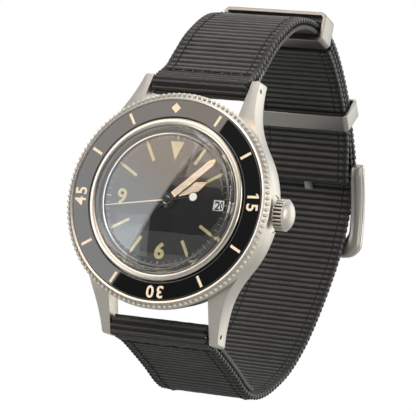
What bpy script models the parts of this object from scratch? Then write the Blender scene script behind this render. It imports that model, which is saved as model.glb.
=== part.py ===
"""A mechanical dive watch on a two-piece ribbed nylon strap, closed into its wearing loop.

Lengths in this file are millimetres, and finish() turns each mesh into metres. The pieces are
laid out in the dial frame: x to 3 o'clock, y to 12 o'clock, z out through the dial, with z = 0 on
the outer face of the case back. An empty turns that frame upright, so that in the world 12
o'clock is +Z, the crown is +X and the dial looks along -Y.
"""

import math

import bmesh
import bpy
from mathutils import Matrix, Vector

MM = 0.001

# Clearances.
RUNNING_GAP = 0.05
SEAT_GAP = 0.05
SLIDE_GAP = 0.15

# Radii, from the movement outwards: holder, case bore, neck, insert, bezel and case middle.
MOVEMENT_RADIUS = 12.9
HOLDER_GAP = 0.2
HOLDER_WALL = 1.5
BORE_WALL = 0.35
NECK_WALL = 1.2
INSERT_WIDTH = 3.55
BEZEL_RIM = 1.5
BEZEL_OVERHANG = 0.5
HOLDER_INNER = MOVEMENT_RADIUS + HOLDER_GAP
HOLDER_OUTER = HOLDER_INNER + HOLDER_WALL
MOVEMENT_BORE = HOLDER_OUTER + HOLDER_GAP
NECK_RADIUS = MOVEMENT_BORE + BORE_WALL
CRYSTAL_BORE = NECK_RADIUS - NECK_WALL
INSERT_OUTER = NECK_RADIUS + INSERT_WIDTH
BEZEL_RADIUS = INSERT_OUTER + BEZEL_RIM
BEZEL_LOWER_RADIUS = BEZEL_RADIUS - 0.2
CASE_RADIUS = BEZEL_RADIUS - BEZEL_OVERHANG

# Case middle, seen from the front and from the side.
CASE_TOP = 8.15
CASE_BOTTOM = 4.0
CASE_SHOULDER = 8.2
CASE_SHOULDER_RADIUS = CASE_RADIUS - 0.7
CASE_WALL_BETWEEN_LUGS = CASE_RADIUS - 1.5
CASE_UNDERSIDE = 1.3
CASE_UNDERSIDE_RADIUS = CASE_RADIUS - 2.4
STRAP_WIDTH = 19.6
BAR_Y = 23.0
LUG_SPAN = 2 * BAR_Y + 3.6
LUG_GAP = STRAP_WIDTH + 0.4
LUG_WAIST_X = LUG_GAP / 2 + 1.6
LUG_WAIST_Y = 27.0
LUG_TIP_CHAMFER = 0.45
LUG_TOP_FLAT = 13.5
LUG_TOP_BEND = 10.0
LUG_TOP_SLOPE = 27.0
LUG_BOTTOM_FLAT = 12.5
LUG_BOTTOM_BEND = 14.0
LUG_BOTTOM_SLOPE = 22.0
NECK_TOP = 11.7
NECK_ROUND = 0.55
SNAP_WIRE_RADIUS = 0.2
SNAP_WIRE_HEIGHT = 9.1

# Bores of the case, from the back to the crystal.
BACK_THREAD_RADIUS = MOVEMENT_BORE + 0.8
BACK_THREAD_TOP = 2.5
DIAL_STOP = 9.3
REHAUT_BORE = CRYSTAL_BORE - 0.85
CRYSTAL_SEAT = 10.1

# Case back and its gasket.
BACK_FLANGE_RADIUS = BACK_THREAD_RADIUS + 1.3
BACK_FLANGE = 1.15
BACK_FLOOR = 1.0
BACK_PLUG_WALL = 1.0
BACK_PLUG_TOP = 2.3
BACK_NOTCHES = 6
BACK_NOTCH_WIDTH = 2.6
BACK_NOTCH_DEPTH = 0.9
BACK_GASKET_RADIUS = BACK_THREAD_RADIUS + 0.6
BACK_GASKET_THICKNESS = 0.5
BACK_GASKET_GROOVE = 0.45

# Turning bezel.
BEZEL_BOTTOM = 8.35
BEZEL_KNURL_BOTTOM = 9.55
BEZEL_RIM_TOP = 10.85
BEZEL_RIM_RADIUS = INSERT_OUTER + 0.55
INSERT_FLOOR = 9.95
INSERT_EDGE_TOP = 10.9
INSERT_CROWN = 11.2
CLICK_GROOVE_INNER = NECK_RADIUS + 1.15
CLICK_GROOVE_OUTER = CLICK_GROOVE_INNER + 2.0
CLICK_GROOVE_DEPTH = 0.55

# Crystal: a domed box of glass.
CRYSTAL_RADIUS = CRYSTAL_BORE - 0.35
CRYSTAL_BOTTOM = 10.45
CRYSTAL_WALL_TOP = 12.3
CRYSTAL_SHOULDER = 0.75
CRYSTAL_TOP = 13.7
CRYSTAL_WALL = 1.1
CRYSTAL_THICKNESS = 1.5
GASKET_WALL = 0.24
GASKET_FOOT = 0.25

# Dial, date and rehaut.
DIAL_RADIUS = MOVEMENT_BORE - 0.6
DIAL_BOTTOM = 8.8
DIAL_THICKNESS = 0.4
DIAL_CENTRE_HOLE = 1.35
DATE_CENTRE = MOVEMENT_RADIUS - 2.6
DATE_WIDTH = 2.8
DATE_HEIGHT = 2.0
DATE_RING_INNER = MOVEMENT_RADIUS - 4.2
DATE_RING_OUTER = MOVEMENT_RADIUS - 0.7
DATE_RING_BOTTOM = 8.25
DATE_RING_THICKNESS = 0.35
REHAUT_INNER = REHAUT_BORE - 0.5

# Hands.
HOUR_HAND_Z = 9.45
MINUTE_HAND_Z = 9.85
SECONDS_HAND_Z = 10.2
HAND_THICKNESS = 0.14
HOUR_HAND_LENGTH = REHAUT_INNER - 4.1
HOUR_HAND_WIDTH = 1.9
MINUTE_HAND_LENGTH = REHAUT_INNER - 1.0
MINUTE_HAND_WIDTH = 1.25
SECONDS_HAND_LENGTH = REHAUT_INNER - 0.4
SECONDS_HAND_WIDTH = 0.22
COUNTERPOISE_REACH = 5.4
COUNTERPOISE_RADIUS = 0.8
HOUR_HAND_ANGLE = 61.5
MINUTE_HAND_ANGLE = 45.8
SECONDS_HAND_ANGLE = 260.0

# Movement: plates and bridges.
PLATE_BOTTOM = 6.3
PLATE_TOP = 8.0
BRIDGE_RADIUS = MOVEMENT_RADIUS - 0.5
BRIDGE_BOTTOM = 3.3
BRIDGE_TOP = 4.4
BRIDGE_RIM_WALL = 0.6
BRIDGE_SPLIT = 1.4
BRIDGE_SPLIT_WIDTH = 0.3
HOLDER_BOTTOM = 4.2
HOLDER_TOP = 8.7
ROTOR_BRIDGE_BOTTOM = 2.5
ROTOR_BRIDGE_TOP = 3.1
ROTOR_BRIDGE_HALF_LENGTH = 9.5
ROTOR_BRIDGE_HALF_WIDTH = 2.0
PIVOT_RADIUS = 0.14
PIVOT_DEPTH = 0.4

# Rotor and its bearing post.
ROTOR_RADIUS = MOVEMENT_RADIUS - 0.5
ROTOR_BOTTOM = 1.45
ROTOR_PLATE = 0.4
ROTOR_HUB_RADIUS = 2.2
ROTOR_HUB_TOP = 2.35
ROTOR_WEIGHT_WIDTH = 1.9
ROTOR_WEIGHT_TOP = 3.0
POST_RADIUS = 0.9
POST_HEAD_RADIUS = 1.5
POST_HEAD_BOTTOM = 1.2

# Going train: tooth counts, and the distance of each arbor from the centre of the movement.
WHEEL_THICKNESS = 0.15
ARBOR_RADIUS = 0.2
FOURTH_TEETH = 60
ESCAPE_LEAVES = 6
THIRD_TEETH = 60
FOURTH_LEAVES = 8
CENTRE_TEETH = 64
THIRD_LEAVES = 8
BARREL_TEETH = 60
CENTRE_LEAVES = 10
ESCAPE_TEETH = 15
THIRD_DISTANCE = 4.6
ESCAPE_DISTANCE = 4.55
BARREL_DISTANCE = 5.8
THIRD_ANGLE = -60.0
ESCAPE_ANGLE = 215.0
BARREL_ANGLE = 110.0
FOURTH_WHEEL_Z = 4.6
FOURTH_PINION_Z = 5.0
THIRD_WHEEL_Z = 5.1
CENTRE_PINION_Z = 5.5
CENTRE_WHEEL_Z = 6.0
ESCAPE_WHEEL_Z = 5.5
ESCAPE_WHEEL_RADIUS = 1.4
BARREL_BOTTOM = 4.95
BARREL_TOP = 5.85
BARREL_DRUM_INSET = 0.5
BARREL_ARBOR_RADIUS = 0.6
RATCHET_TEETH = 48
RATCHET_RADIUS = 2.9
RATCHET_Z = 2.75
RATCHET_THICKNESS = 0.35
CENTRE_ARBOR_RADIUS = 0.45
CENTRE_ARBOR_BORE = 0.27
SECONDS_ARBOR_RADIUS = 0.17

# Motion work under the dial.
CANNON_LEAVES = 12
MINUTE_WHEEL_TEETH = 36
MINUTE_PINION_LEAVES = 10
HOUR_WHEEL_TEETH = 40
MOTION_DISTANCE = 3.0
MOTION_ANGLE = -40.0
CANNON_Z = 8.1
CANNON_LEAF_HEIGHT = 0.2
CANNON_BORE = 0.5
CANNON_TUBE = 0.75
HOUR_WHEEL_Z = 8.42
HOUR_TUBE_BORE = 0.85
HOUR_TUBE = 1.15
HAND_SEAT = 0.18

# Escapement and balance.
PALLET_X = -4.41
PALLET_Y = -4.49
BALANCE_X = -6.39
BALANCE_Y = -5.75
BALANCE_RADIUS = 2.05
BALANCE_RIM = 0.45
BALANCE_Z = 4.7
BALANCE_THICKNESS = 0.25
HAIRSPRING_Z = 5.1
HAIRSPRING_INNER = 0.55
HAIRSPRING_PITCH = 0.25
HAIRSPRING_TURNS = 3.5
HAIRSPRING_WIDTH = 0.1

# Keyless work: tube, crown and stem, all on the 3 o'clock axis.
STEM_Z = 6.1
STEM_RADIUS = 0.42
TUBE_BORE = STEM_RADIUS + 0.23
TUBE_RADIUS = TUBE_BORE + 0.55
CROWN_BORE = TUBE_RADIUS + 0.25
CROWN_RADIUS = CROWN_BORE + 1.6
CROWN_SEAT_RADIUS = CROWN_RADIUS + 0.45
CROWN_SEAT_X = CASE_RADIUS - 0.45
CROWN_START = BEZEL_LOWER_RADIUS + 0.1
CROWN_FLUTED = 1.9
CROWN_LENGTH = 3.6
CROWN_FLUTES = 24
CROWN_FLUTE_DEPTH = 0.22
CROWN_BORE_DEPTH = 1.9
TUBE_START = MOVEMENT_BORE + 0.2
TUBE_END = CROWN_START + 1.65
STEM_START = 6.1
CLUTCH_START = 7.0
CLUTCH_LENGTH = 1.5
CLUTCH_RADIUS = 1.0
WINDING_PINION_START = 8.7
WINDING_PINION_LENGTH = 1.2
WINDING_PINION_RADIUS = 1.15

# Spring bars in the lugs.
BAR_Z = 3.2
BAR_RADIUS = 0.75
BAR_LENGTH = LUG_GAP - 2.4
BAR_TIP_RADIUS = 0.38
BAR_TIP_REACH = LUG_GAP / 2 + 1.4
BAR_TIP_INSIDE = 3.0
LUG_HOLE_RADIUS = 0.45

# Strap of ribbed webbing.
WEBBING = 1.15
LAYER_GAP = 0.1
LOOP_CLEARANCE = 0.12
PATH_STEP = 2.8

# Pin buckle and keepers.
UPPER_FOLD_TOP = -33.0
UPPER_FOLD_BOTTOM = -26.0
LOWER_FOLD_BOTTOM = -22.0
TAIL_TIP = -27.0
KEEPER_HEIGHT = -48.0
LOOSE_KEEPER_AT = -27.8

BUCKLE_BAR_Y = 19.6
BUCKLE_BAR_Z = -55.2
BUCKLE_BAR_RADIUS = 0.75
BUCKLE_INNER_WIDTH = STRAP_WIDTH + 1.2
BUCKLE_RAIL = 1.9
BUCKLE_CROSS_RAIL = 3.4
BUCKLE_DEPTH = 3.0
BUCKLE_REACH = 17.2
BUCKLE_BOW = 1.3
BUCKLE_TILT = 17.0
TONGUE_WIDTH = 1.8
TONGUE_THICKNESS = 1.0
TONGUE_RING = 1.5
KEEPER_LENGTH = 3.6
KEEPER_PLATE = 0.9
KEEPER_CLEARANCE = 0.3
KEEPER_SLACK = 2.0
KEEPER_INWARD = 0.8
LOOSE_KEEPER_LENGTH = 5.0
LOOSE_KEEPER_PLATE = 0.8
LOOSE_KEEPER_SLACK = 0.8
LOOSE_KEEPER_OUTWARD = 0.35

LARGE, MEDIUM, SMALL = 36, 24, 12
HALF_TURN_STEPS = 18
SPRING_STEPS = 11
TAU = 2 * math.pi
MOST_FLAT_TIPS = 16


# Tools that turn outlines and profiles into objects.

def clear_scene():
    for obj in list(bpy.data.objects):
        bpy.data.objects.remove(obj)


def finish_material(name, colour, roughness, metallic):
    material = bpy.data.materials.new(name)
    material.use_nodes = True
    shader = material.node_tree.nodes["Principled BSDF"]
    shader.inputs["Base Color"].default_value = (*colour, 1.0)
    shader.inputs["Roughness"].default_value = roughness
    shader.inputs["Metallic"].default_value = metallic
    material.diffuse_color = (*colour, 1.0)
    return material


def finish(name, mesh, material, at=(0, 0, 0), turn=(0, 0, 0), smooth=True):
    """The named object of a bmesh in millimetres, with its origin at a point of the dial frame."""
    bmesh.ops.recalc_face_normals(mesh, faces=mesh.faces)
    mesh.transform(Matrix.Scale(MM, 4))
    data = bpy.data.meshes.new(name)
    mesh.to_mesh(data)
    mesh.free()
    data.materials.append(material)
    if smooth:
        data.shade_smooth()
        data.set_sharp_from_angle(angle=math.radians(30))
    obj = bpy.data.objects.new(name, data)
    obj.location = Vector(at) * MM
    obj.rotation_euler = [math.radians(angle) for angle in turn]
    obj.parent = DIAL_FRAME
    bpy.context.collection.objects.link(obj)
    return obj


def cut(obj, mesh, at=(0, 0, 0), turn=(0, 0, 0), operation="DIFFERENCE"):
    """Cuts a bmesh from an object, or joins or intersects it, with the cutter kept hidden."""
    number = len(obj.modifiers) + 1
    cutter = finish(f"{obj.name}_cutter_{number}", mesh, CUTTER, at, turn, smooth=False)
    cutter.hide_render = True
    cutter.display_type = "WIRE"
    boolean = obj.modifiers.new(cutter.name, "BOOLEAN")
    boolean.operation = operation
    boolean.object = cutter
    boolean.solver = "EXACT"


def arc(centre, radius, start, end, steps):
    """Points along an arc, with the angles in degrees."""
    angles = [math.radians(start + (end - start) * step / steps) for step in range(steps + 1)]
    return [(centre[0] + radius * math.cos(a), centre[1] + radius * math.sin(a)) for a in angles]


def polar(radius, degrees):
    angle = math.radians(degrees)
    return radius * math.cos(angle), radius * math.sin(angle)


def lathe(profile, segments, start=0.0, sweep=360.0):
    """A closed (radius, z) profile turned about z. Points at radius 0 lie on the axis."""
    mesh = bmesh.new()
    whole = sweep >= 360.0
    count = segments if whole else segments + 1
    rings = []
    for step in range(count):
        angle = math.radians(start + sweep * step / segments)
        ring = []
        for index, (radius, z) in enumerate(profile):
            if radius == 0 and rings:
                ring.append(rings[0][index])
            else:
                ring.append(mesh.verts.new((radius * math.cos(angle), radius * math.sin(angle), z)))
        rings.append(ring)
    for step in range(segments):
        one = rings[step]
        two = rings[(step + 1) % count]
        for index in range(len(profile)):
            after = (index + 1) % len(profile)
            corners = [one[index], two[index], two[after], one[after]]
            corners = list(dict.fromkeys(corners))
            if len(corners) > 2:
                mesh.faces.new(corners)
    if not whole:
        mesh.faces.new(rings[0])
        mesh.faces.new(reversed(rings[-1]))
    return mesh


def prism(outline, bottom, top):
    """An outline in x and y, drawn up from bottom to top."""
    mesh = bmesh.new()
    lower = [mesh.verts.new((x, y, bottom)) for x, y in outline]
    upper = [mesh.verts.new((x, y, top)) for x, y in outline]
    mesh.faces.new(lower)
    mesh.faces.new(upper)
    for index in range(len(outline)):
        after = (index + 1) % len(outline)
        mesh.faces.new((lower[index], lower[after], upper[after], upper[index]))
    return mesh


def across(outline, half_width):
    """An outline in y and z, drawn along x to both sides of the dial frame's middle."""
    mesh = prism(outline, -half_width, half_width)
    mesh.transform(Matrix(((0, 0, 1, 0), (1, 0, 0, 0), (0, 1, 0, 0), (0, 0, 0, 1))))
    return mesh


def joined(*meshes):
    """Separate bodies put into one bmesh, for a cutter."""
    result = bmesh.new()
    for mesh in meshes:
        data = bpy.data.meshes.new("joined")
        mesh.to_mesh(data)
        mesh.free()
        result.from_mesh(data)
        bpy.data.meshes.remove(data)
    return result


def cylinder(radius, bottom, top, at=(0, 0), segments=SMALL):
    mesh = lathe([(0, bottom), (radius, bottom), (radius, top), (0, top)], segments)
    mesh.transform(Matrix.Translation((*at, 0)))
    return mesh


def box(x0, x1, y0, y1, z0, z1):
    return prism([(x0, y0), (x1, y0), (x1, y1), (x0, y1)], z0, z1)


def ring(inner, outer, bottom, top, segments=LARGE):
    return lathe([(inner, bottom), (outer, bottom), (outer, top), (inner, top)], segments)


# Gear teeth. Two wheels mesh when one has a tooth and the other a gap on the line of centres.

def pitch_radii(distance, leader_teeth, follower_teeth):
    module = distance / (leader_teeth + follower_teeth)
    return module * leader_teeth, module * follower_teeth


def toothed_outline(teeth, pitch_radius, tooth_at):
    """Straight-sided teeth with room between them, one of them centred at the angle tooth_at.

    A pinion's leaves have flat tips, and the many teeth of a wheel come to a point.
    """
    module = 2 * pitch_radius / teeth
    root = pitch_radius - 1.15 * module
    tip = pitch_radius + 0.7 * module
    pitch = TAU / teeth
    corners = ((root, -0.25), (tip, -0.09), (tip, 0.09), (root, 0.25))
    if teeth > MOST_FLAT_TIPS:
        corners = ((root, -0.5), (tip, 0.0))
    points = []
    for tooth in range(teeth):
        middle = math.radians(tooth_at) + tooth * pitch
        for radius, offset in corners:
            angle = middle + offset * pitch
            points.append((radius * math.cos(angle), radius * math.sin(angle)))
    return points


def meshing(teeth, towards):
    """The place of a tooth, in degrees, that leaves a gap in the direction of the other wheel."""
    return towards + 180.0 / teeth


def gear(teeth, pitch_radius, bottom, height, tooth_at):
    return prism(toothed_outline(teeth, pitch_radius, tooth_at), bottom, bottom + height)


def smooth_path(points, step):
    """Points spaced along a Catmull-Rom curve through the given points."""
    path = [points[0]]
    ends = [points[0], *points, points[-1]]
    for index in range(1, len(ends) - 2):
        before, one, two, after = (Vector(p) for p in ends[index - 1:index + 3])
        pieces = max(1, round((two - one).length / step))
        for piece in range(1, pieces + 1):
            t = piece / pieces
            bend = 2 * one + (two - before) * t
            bend += (2 * before - 5 * one + 4 * two - after) * t * t
            bend += (3 * one - before - 3 * two + after) * t ** 3
            path.append(tuple(bend / 2))
    return path


def normals_of(path):
    """The direction to the left of the path at each of its points."""
    found = []
    for index in range(len(path)):
        back = Vector(path[max(index - 1, 0)])
        ahead = Vector(path[min(index + 1, len(path) - 1)])
        along = (ahead - back).normalized()
        found.append(Vector((-along.y, along.x)))
    return found


def ribbon(path, thickness):
    """The closed outline of a band of even thickness along a path."""
    sides = [(Vector(point), normal * thickness / 2) for point, normal in zip(path, normals_of(path))]
    left = [tuple(point + half) for point, half in sides]
    right = [tuple(point - half) for point, half in sides]
    return left + right[::-1]


def shifted(path, distance):
    """The path moved to its left by a distance."""
    return [tuple(Vector(p) + n * distance) for p, n in zip(path, normals_of(path))]


# Case, case back and bezel.

def bent_flat(half_flat, height, bend, slope, end):
    """The (y, z) line of a flat top that bends down through an arc into a straight slope."""
    line = [(half_flat, height)]
    for point in arc((half_flat, height - bend), bend, 90.0, 90.0 - slope, 5)[1:]:
        line.append(point)
    y, z = line[-1]
    line.append((end, z - (end - y) * math.tan(math.radians(slope))))
    return line


def case_plan():
    """The middle's outline from the front: the round case, and a concave flank to each lug tip."""
    half_span = LUG_SPAN / 2
    room = CASE_RADIUS ** 2 - LUG_WAIST_X ** 2 - LUG_WAIST_Y ** 2
    flank = -room / (2 * (CASE_RADIUS - LUG_WAIST_X))
    centre = (LUG_WAIST_X + flank, LUG_WAIST_Y)
    leave = math.degrees(math.atan2(centre[1], centre[0]))
    tip = 180.0 + math.degrees(math.asin((LUG_WAIST_Y - half_span + LUG_TIP_CHAMFER) / flank))
    quarter = arc((0, 0), CASE_RADIUS, 0.0, leave, 7)
    quarter += arc(centre, flank, 180.0 + leave, tip, 7)[1:]
    tip_x = quarter[-1][0]
    quarter.append((tip_x - LUG_TIP_CHAMFER, half_span))
    quarter.append((LUG_GAP / 2, half_span))
    inner = math.degrees(math.acos(LUG_GAP / 2 / CASE_WALL_BETWEEN_LUGS))
    quarter += arc((0, 0), CASE_WALL_BETWEEN_LUGS, inner, 90.0, 5)
    half = quarter + [(-x, y) for x, y in quarter[-2::-1]]
    return half + [(x, -y) for x, y in half[-2:0:-1]]


def build_case():
    reach = LUG_SPAN / 2 + 1
    case = finish("case_body", prism(case_plan(), -2, CASE_SHOULDER + 2), STEEL)
    top = bent_flat(LUG_TOP_FLAT, CASE_TOP, LUG_TOP_BEND, LUG_TOP_SLOPE, reach)
    bottom = bent_flat(LUG_BOTTOM_FLAT, CASE_BOTTOM, LUG_BOTTOM_BEND, LUG_BOTTOM_SLOPE, reach)
    side = [(-y, z) for y, z in reversed(top)] + top
    side += list(reversed(bottom)) + [(-y, z) for y, z in bottom]
    cut(case, across(side, CASE_RADIUS + 1), operation="INTERSECT")
    groove = NECK_RADIUS - SNAP_WIRE_RADIUS
    wire_low = SNAP_WIRE_HEIGHT - SNAP_WIRE_RADIUS - RUNNING_GAP
    wire_high = SNAP_WIRE_HEIGHT + SNAP_WIRE_RADIUS + RUNNING_GAP
    gasket_groove = BACK_GASKET_THICKNESS / 2 + SEAT_GAP
    core = [
        (0, CASE_UNDERSIDE), (BACK_GASKET_RADIUS - gasket_groove, CASE_UNDERSIDE),
        (BACK_GASKET_RADIUS - gasket_groove, CASE_UNDERSIDE + BACK_GASKET_GROOVE),
        (BACK_GASKET_RADIUS + gasket_groove, CASE_UNDERSIDE + BACK_GASKET_GROOVE),
        (BACK_GASKET_RADIUS + gasket_groove, CASE_UNDERSIDE),
        (CASE_UNDERSIDE_RADIUS, CASE_UNDERSIDE), (CASE_SHOULDER_RADIUS, CASE_BOTTOM + 0.4),
        (CASE_SHOULDER_RADIUS, CASE_SHOULDER), (NECK_RADIUS, CASE_SHOULDER),
        (NECK_RADIUS, wire_low), (groove, wire_low), (groove, wire_high), (NECK_RADIUS, wire_high),
    ]
    core += arc((NECK_RADIUS - NECK_ROUND, NECK_TOP - NECK_ROUND), NECK_ROUND, 0.0, 90.0, 3)
    core += [(CRYSTAL_BORE + 0.2, NECK_TOP), (CRYSTAL_BORE, NECK_TOP - 0.15), (0, NECK_TOP - 0.15)]
    cut(case, lathe(core, LARGE), operation="UNION")
    bore = [
        (0, 0), (BACK_THREAD_RADIUS, 0), (BACK_THREAD_RADIUS, BACK_THREAD_TOP),
        (MOVEMENT_BORE, BACK_THREAD_TOP), (MOVEMENT_BORE, DIAL_STOP), (REHAUT_BORE, DIAL_STOP),
        (REHAUT_BORE, CRYSTAL_SEAT), (CRYSTAL_BORE, CRYSTAL_SEAT), (CRYSTAL_BORE, NECK_TOP + 1),
        (0, NECK_TOP + 1),
    ]
    cut(case, lathe(bore, LARGE))
    along_x = (0, 90, 0)
    tube_hole = cylinder(TUBE_RADIUS + SEAT_GAP, REHAUT_BORE, CROWN_SEAT_X + 1)
    cut(case, tube_hole, (0, 0, STEM_Z), along_x)
    crown_seat = cylinder(CROWN_SEAT_RADIUS, CROWN_SEAT_X, CASE_RADIUS + 1, segments=MEDIUM)
    cut(case, crown_seat, (0, 0, STEM_Z), along_x)
    for y in (BAR_Y, -BAR_Y):
        hole = cylinder(LUG_HOLE_RADIUS, -CASE_RADIUS, CASE_RADIUS, segments=12)
        cut(case, hole, (0, y, BAR_Z), along_x)


def build_back():
    plug = BACK_THREAD_RADIUS - SEAT_GAP
    plug_inner = plug - BACK_PLUG_WALL
    chamfer = 0.35
    profile = [
        (0, 0), (BACK_FLANGE_RADIUS - chamfer, 0), (BACK_FLANGE_RADIUS, chamfer),
        (BACK_FLANGE_RADIUS, BACK_FLANGE), (plug, BACK_FLANGE), (plug, BACK_PLUG_TOP),
        (plug_inner, BACK_PLUG_TOP), (plug_inner, BACK_FLOOR), (0, BACK_FLOOR),
    ]
    back = finish("case_back", lathe(profile, LARGE), STEEL)
    notches = []
    for index in range(BACK_NOTCHES):
        half = BACK_NOTCH_WIDTH / 2
        inner = BACK_FLANGE_RADIUS - BACK_NOTCH_DEPTH
        notch = box(inner, BACK_FLANGE_RADIUS + 1, -half, half, -1, BACK_FLANGE / 2)
        notch.transform(Matrix.Rotation(TAU * index / BACK_NOTCHES, 4, "Z"))
        notches.append(notch)
    cut(back, joined(*notches))
    half = BACK_GASKET_THICKNESS / 2
    low = BACK_FLANGE + SEAT_GAP
    high = CASE_UNDERSIDE + BACK_GASKET_GROOVE - SEAT_GAP
    gasket = ring(BACK_GASKET_RADIUS - half, BACK_GASKET_RADIUS + half, low, high)
    finish("back_gasket", gasket, RUBBER)


def build_bezel():
    inner = NECK_RADIUS + SLIDE_GAP
    wire_groove = inner + SNAP_WIRE_RADIUS
    wire_low = SNAP_WIRE_HEIGHT - SNAP_WIRE_RADIUS - RUNNING_GAP
    wire_high = SNAP_WIRE_HEIGHT + SNAP_WIRE_RADIUS + RUNNING_GAP
    groove_top = BEZEL_BOTTOM + CLICK_GROOVE_DEPTH
    seat = INSERT_OUTER + SEAT_GAP
    profile = [
        (inner, BEZEL_BOTTOM), (CLICK_GROOVE_INNER, BEZEL_BOTTOM),
        (CLICK_GROOVE_INNER, groove_top), (CLICK_GROOVE_OUTER, groove_top),
        (CLICK_GROOVE_OUTER, BEZEL_BOTTOM), (BEZEL_LOWER_RADIUS - 0.25, BEZEL_BOTTOM),
        (BEZEL_LOWER_RADIUS, BEZEL_BOTTOM + 0.25), (BEZEL_LOWER_RADIUS, BEZEL_KNURL_BOTTOM),
        (BEZEL_RADIUS, BEZEL_KNURL_BOTTOM + 0.2), (BEZEL_RADIUS, BEZEL_KNURL_BOTTOM + 0.45),
        (BEZEL_RIM_RADIUS, BEZEL_RIM_TOP - 0.1), (BEZEL_RIM_RADIUS - 0.15, BEZEL_RIM_TOP),
        (seat, BEZEL_RIM_TOP), (seat, INSERT_FLOOR - SEAT_GAP), (inner, INSERT_FLOOR - SEAT_GAP),
        (inner, wire_high), (wire_groove, wire_high), (wire_groove, wire_low), (inner, wire_low),
    ]
    finish("bezel_ring", lathe(profile, LARGE), STEEL)
    middle = (inner + INSERT_OUTER) / 2
    insert = [
        (inner + 0.1, INSERT_FLOOR), (INSERT_OUTER, INSERT_FLOOR),
        (INSERT_OUTER, INSERT_EDGE_TOP), (middle, INSERT_CROWN), (inner + 0.1, INSERT_EDGE_TOP),
    ]
    finish("bezel_insert", lathe(insert, LARGE), GLOSS_BLACK)
    wire_middle = NECK_RADIUS + SLIDE_GAP / 2
    wire = arc((wire_middle, SNAP_WIRE_HEIGHT), SNAP_WIRE_RADIUS, 0.0, 270.0, 3)
    finish("bezel_snap_wire", lathe(wire, LARGE, 10.0, 340.0), STEEL)
    click = ring(
        CLICK_GROOVE_INNER + SLIDE_GAP, CLICK_GROOVE_OUTER - SLIDE_GAP,
        CASE_SHOULDER + SEAT_GAP, groove_top - SLIDE_GAP,
    )
    finish("bezel_click_ring", click, STEEL)


def build_crystal():
    inner_radius = CRYSTAL_RADIUS - CRYSTAL_WALL
    shoulder = arc(
        (CRYSTAL_RADIUS - CRYSTAL_SHOULDER, CRYSTAL_WALL_TOP), CRYSTAL_SHOULDER, 0.0, 66.0, 4,
    )
    edge_radius, edge_z = shoulder[-1]
    rise = CRYSTAL_TOP - edge_z
    outer_dome = [(edge_radius * t, CRYSTAL_TOP - rise * t * t) for t in (0.8, 0.6, 0.4, 0.2)]
    inner_top = CRYSTAL_TOP - CRYSTAL_THICKNESS
    inner_rise = rise + 0.1
    inner_dome = [
        (inner_radius * t * 0.93, inner_top - inner_rise * t * t) for t in (0.25, 0.5, 0.75, 1.0)
    ]
    profile = [(inner_radius, CRYSTAL_BOTTOM), (CRYSTAL_RADIUS, CRYSTAL_BOTTOM)]
    profile += shoulder + outer_dome + [(0, CRYSTAL_TOP), (0, inner_top)] + inner_dome
    finish("crystal", lathe(profile, MEDIUM), GLASS)
    foot = CRYSTAL_SEAT + SEAT_GAP
    wall_outer = CRYSTAL_BORE - SEAT_GAP
    gasket = [
        (REHAUT_BORE, foot), (wall_outer, foot), (wall_outer, NECK_TOP - 0.2),
        (wall_outer - GASKET_WALL, NECK_TOP - 0.2), (wall_outer - GASKET_WALL, foot + GASKET_FOOT),
        (REHAUT_BORE, foot + GASKET_FOOT),
    ]
    finish("crystal_gasket", lathe(gasket, LARGE), NYLON)
    dial_top = DIAL_BOTTOM + DIAL_THICKNESS + SEAT_GAP
    rehaut = [
        (REHAUT_INNER, dial_top), (REHAUT_BORE - SEAT_GAP, dial_top),
        (REHAUT_BORE - SEAT_GAP, foot + GASKET_FOOT - 0.1),
        (REHAUT_BORE - 0.2, foot + GASKET_FOOT - 0.1),
    ]
    finish("rehaut_ring", lathe(rehaut, LARGE), SATIN_BLACK)


# Dial, date ring and hands.

def build_dial():
    top = DIAL_BOTTOM + DIAL_THICKNESS
    dial = finish("dial", ring(DIAL_CENTRE_HOLE, DIAL_RADIUS, DIAL_BOTTOM, top), MATT_BLACK)
    left = DATE_CENTRE - DATE_WIDTH / 2
    window = box(left, left + DATE_WIDTH, -DATE_HEIGHT / 2, DATE_HEIGHT / 2, top - 1, top + 1)
    cut(dial, window)
    date_top = DATE_RING_BOTTOM + DATE_RING_THICKNESS
    date = ring(DATE_RING_INNER, DATE_RING_OUTER, DATE_RING_BOTTOM, date_top)
    finish("date_ring", date, PALE_PAINT)


def hand(name, outline, z, bore, boss, boss_height, angle, material):
    """A flat hand drawn pointing along x, with a boss and a bore, turned to its hour angle."""
    mesh = prism(outline, 0, HAND_THICKNESS)
    obj = finish(name, mesh, material, (0, 0, z), (0, 0, 90.0 - angle), smooth=False)
    cut(obj, cylinder(boss, 0.01, boss_height, segments=24), (0, 0, z), operation="UNION")
    if bore:
        cut(obj, cylinder(bore, -1, boss_height + 1, segments=24), (0, 0, z))
    return obj


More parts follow.
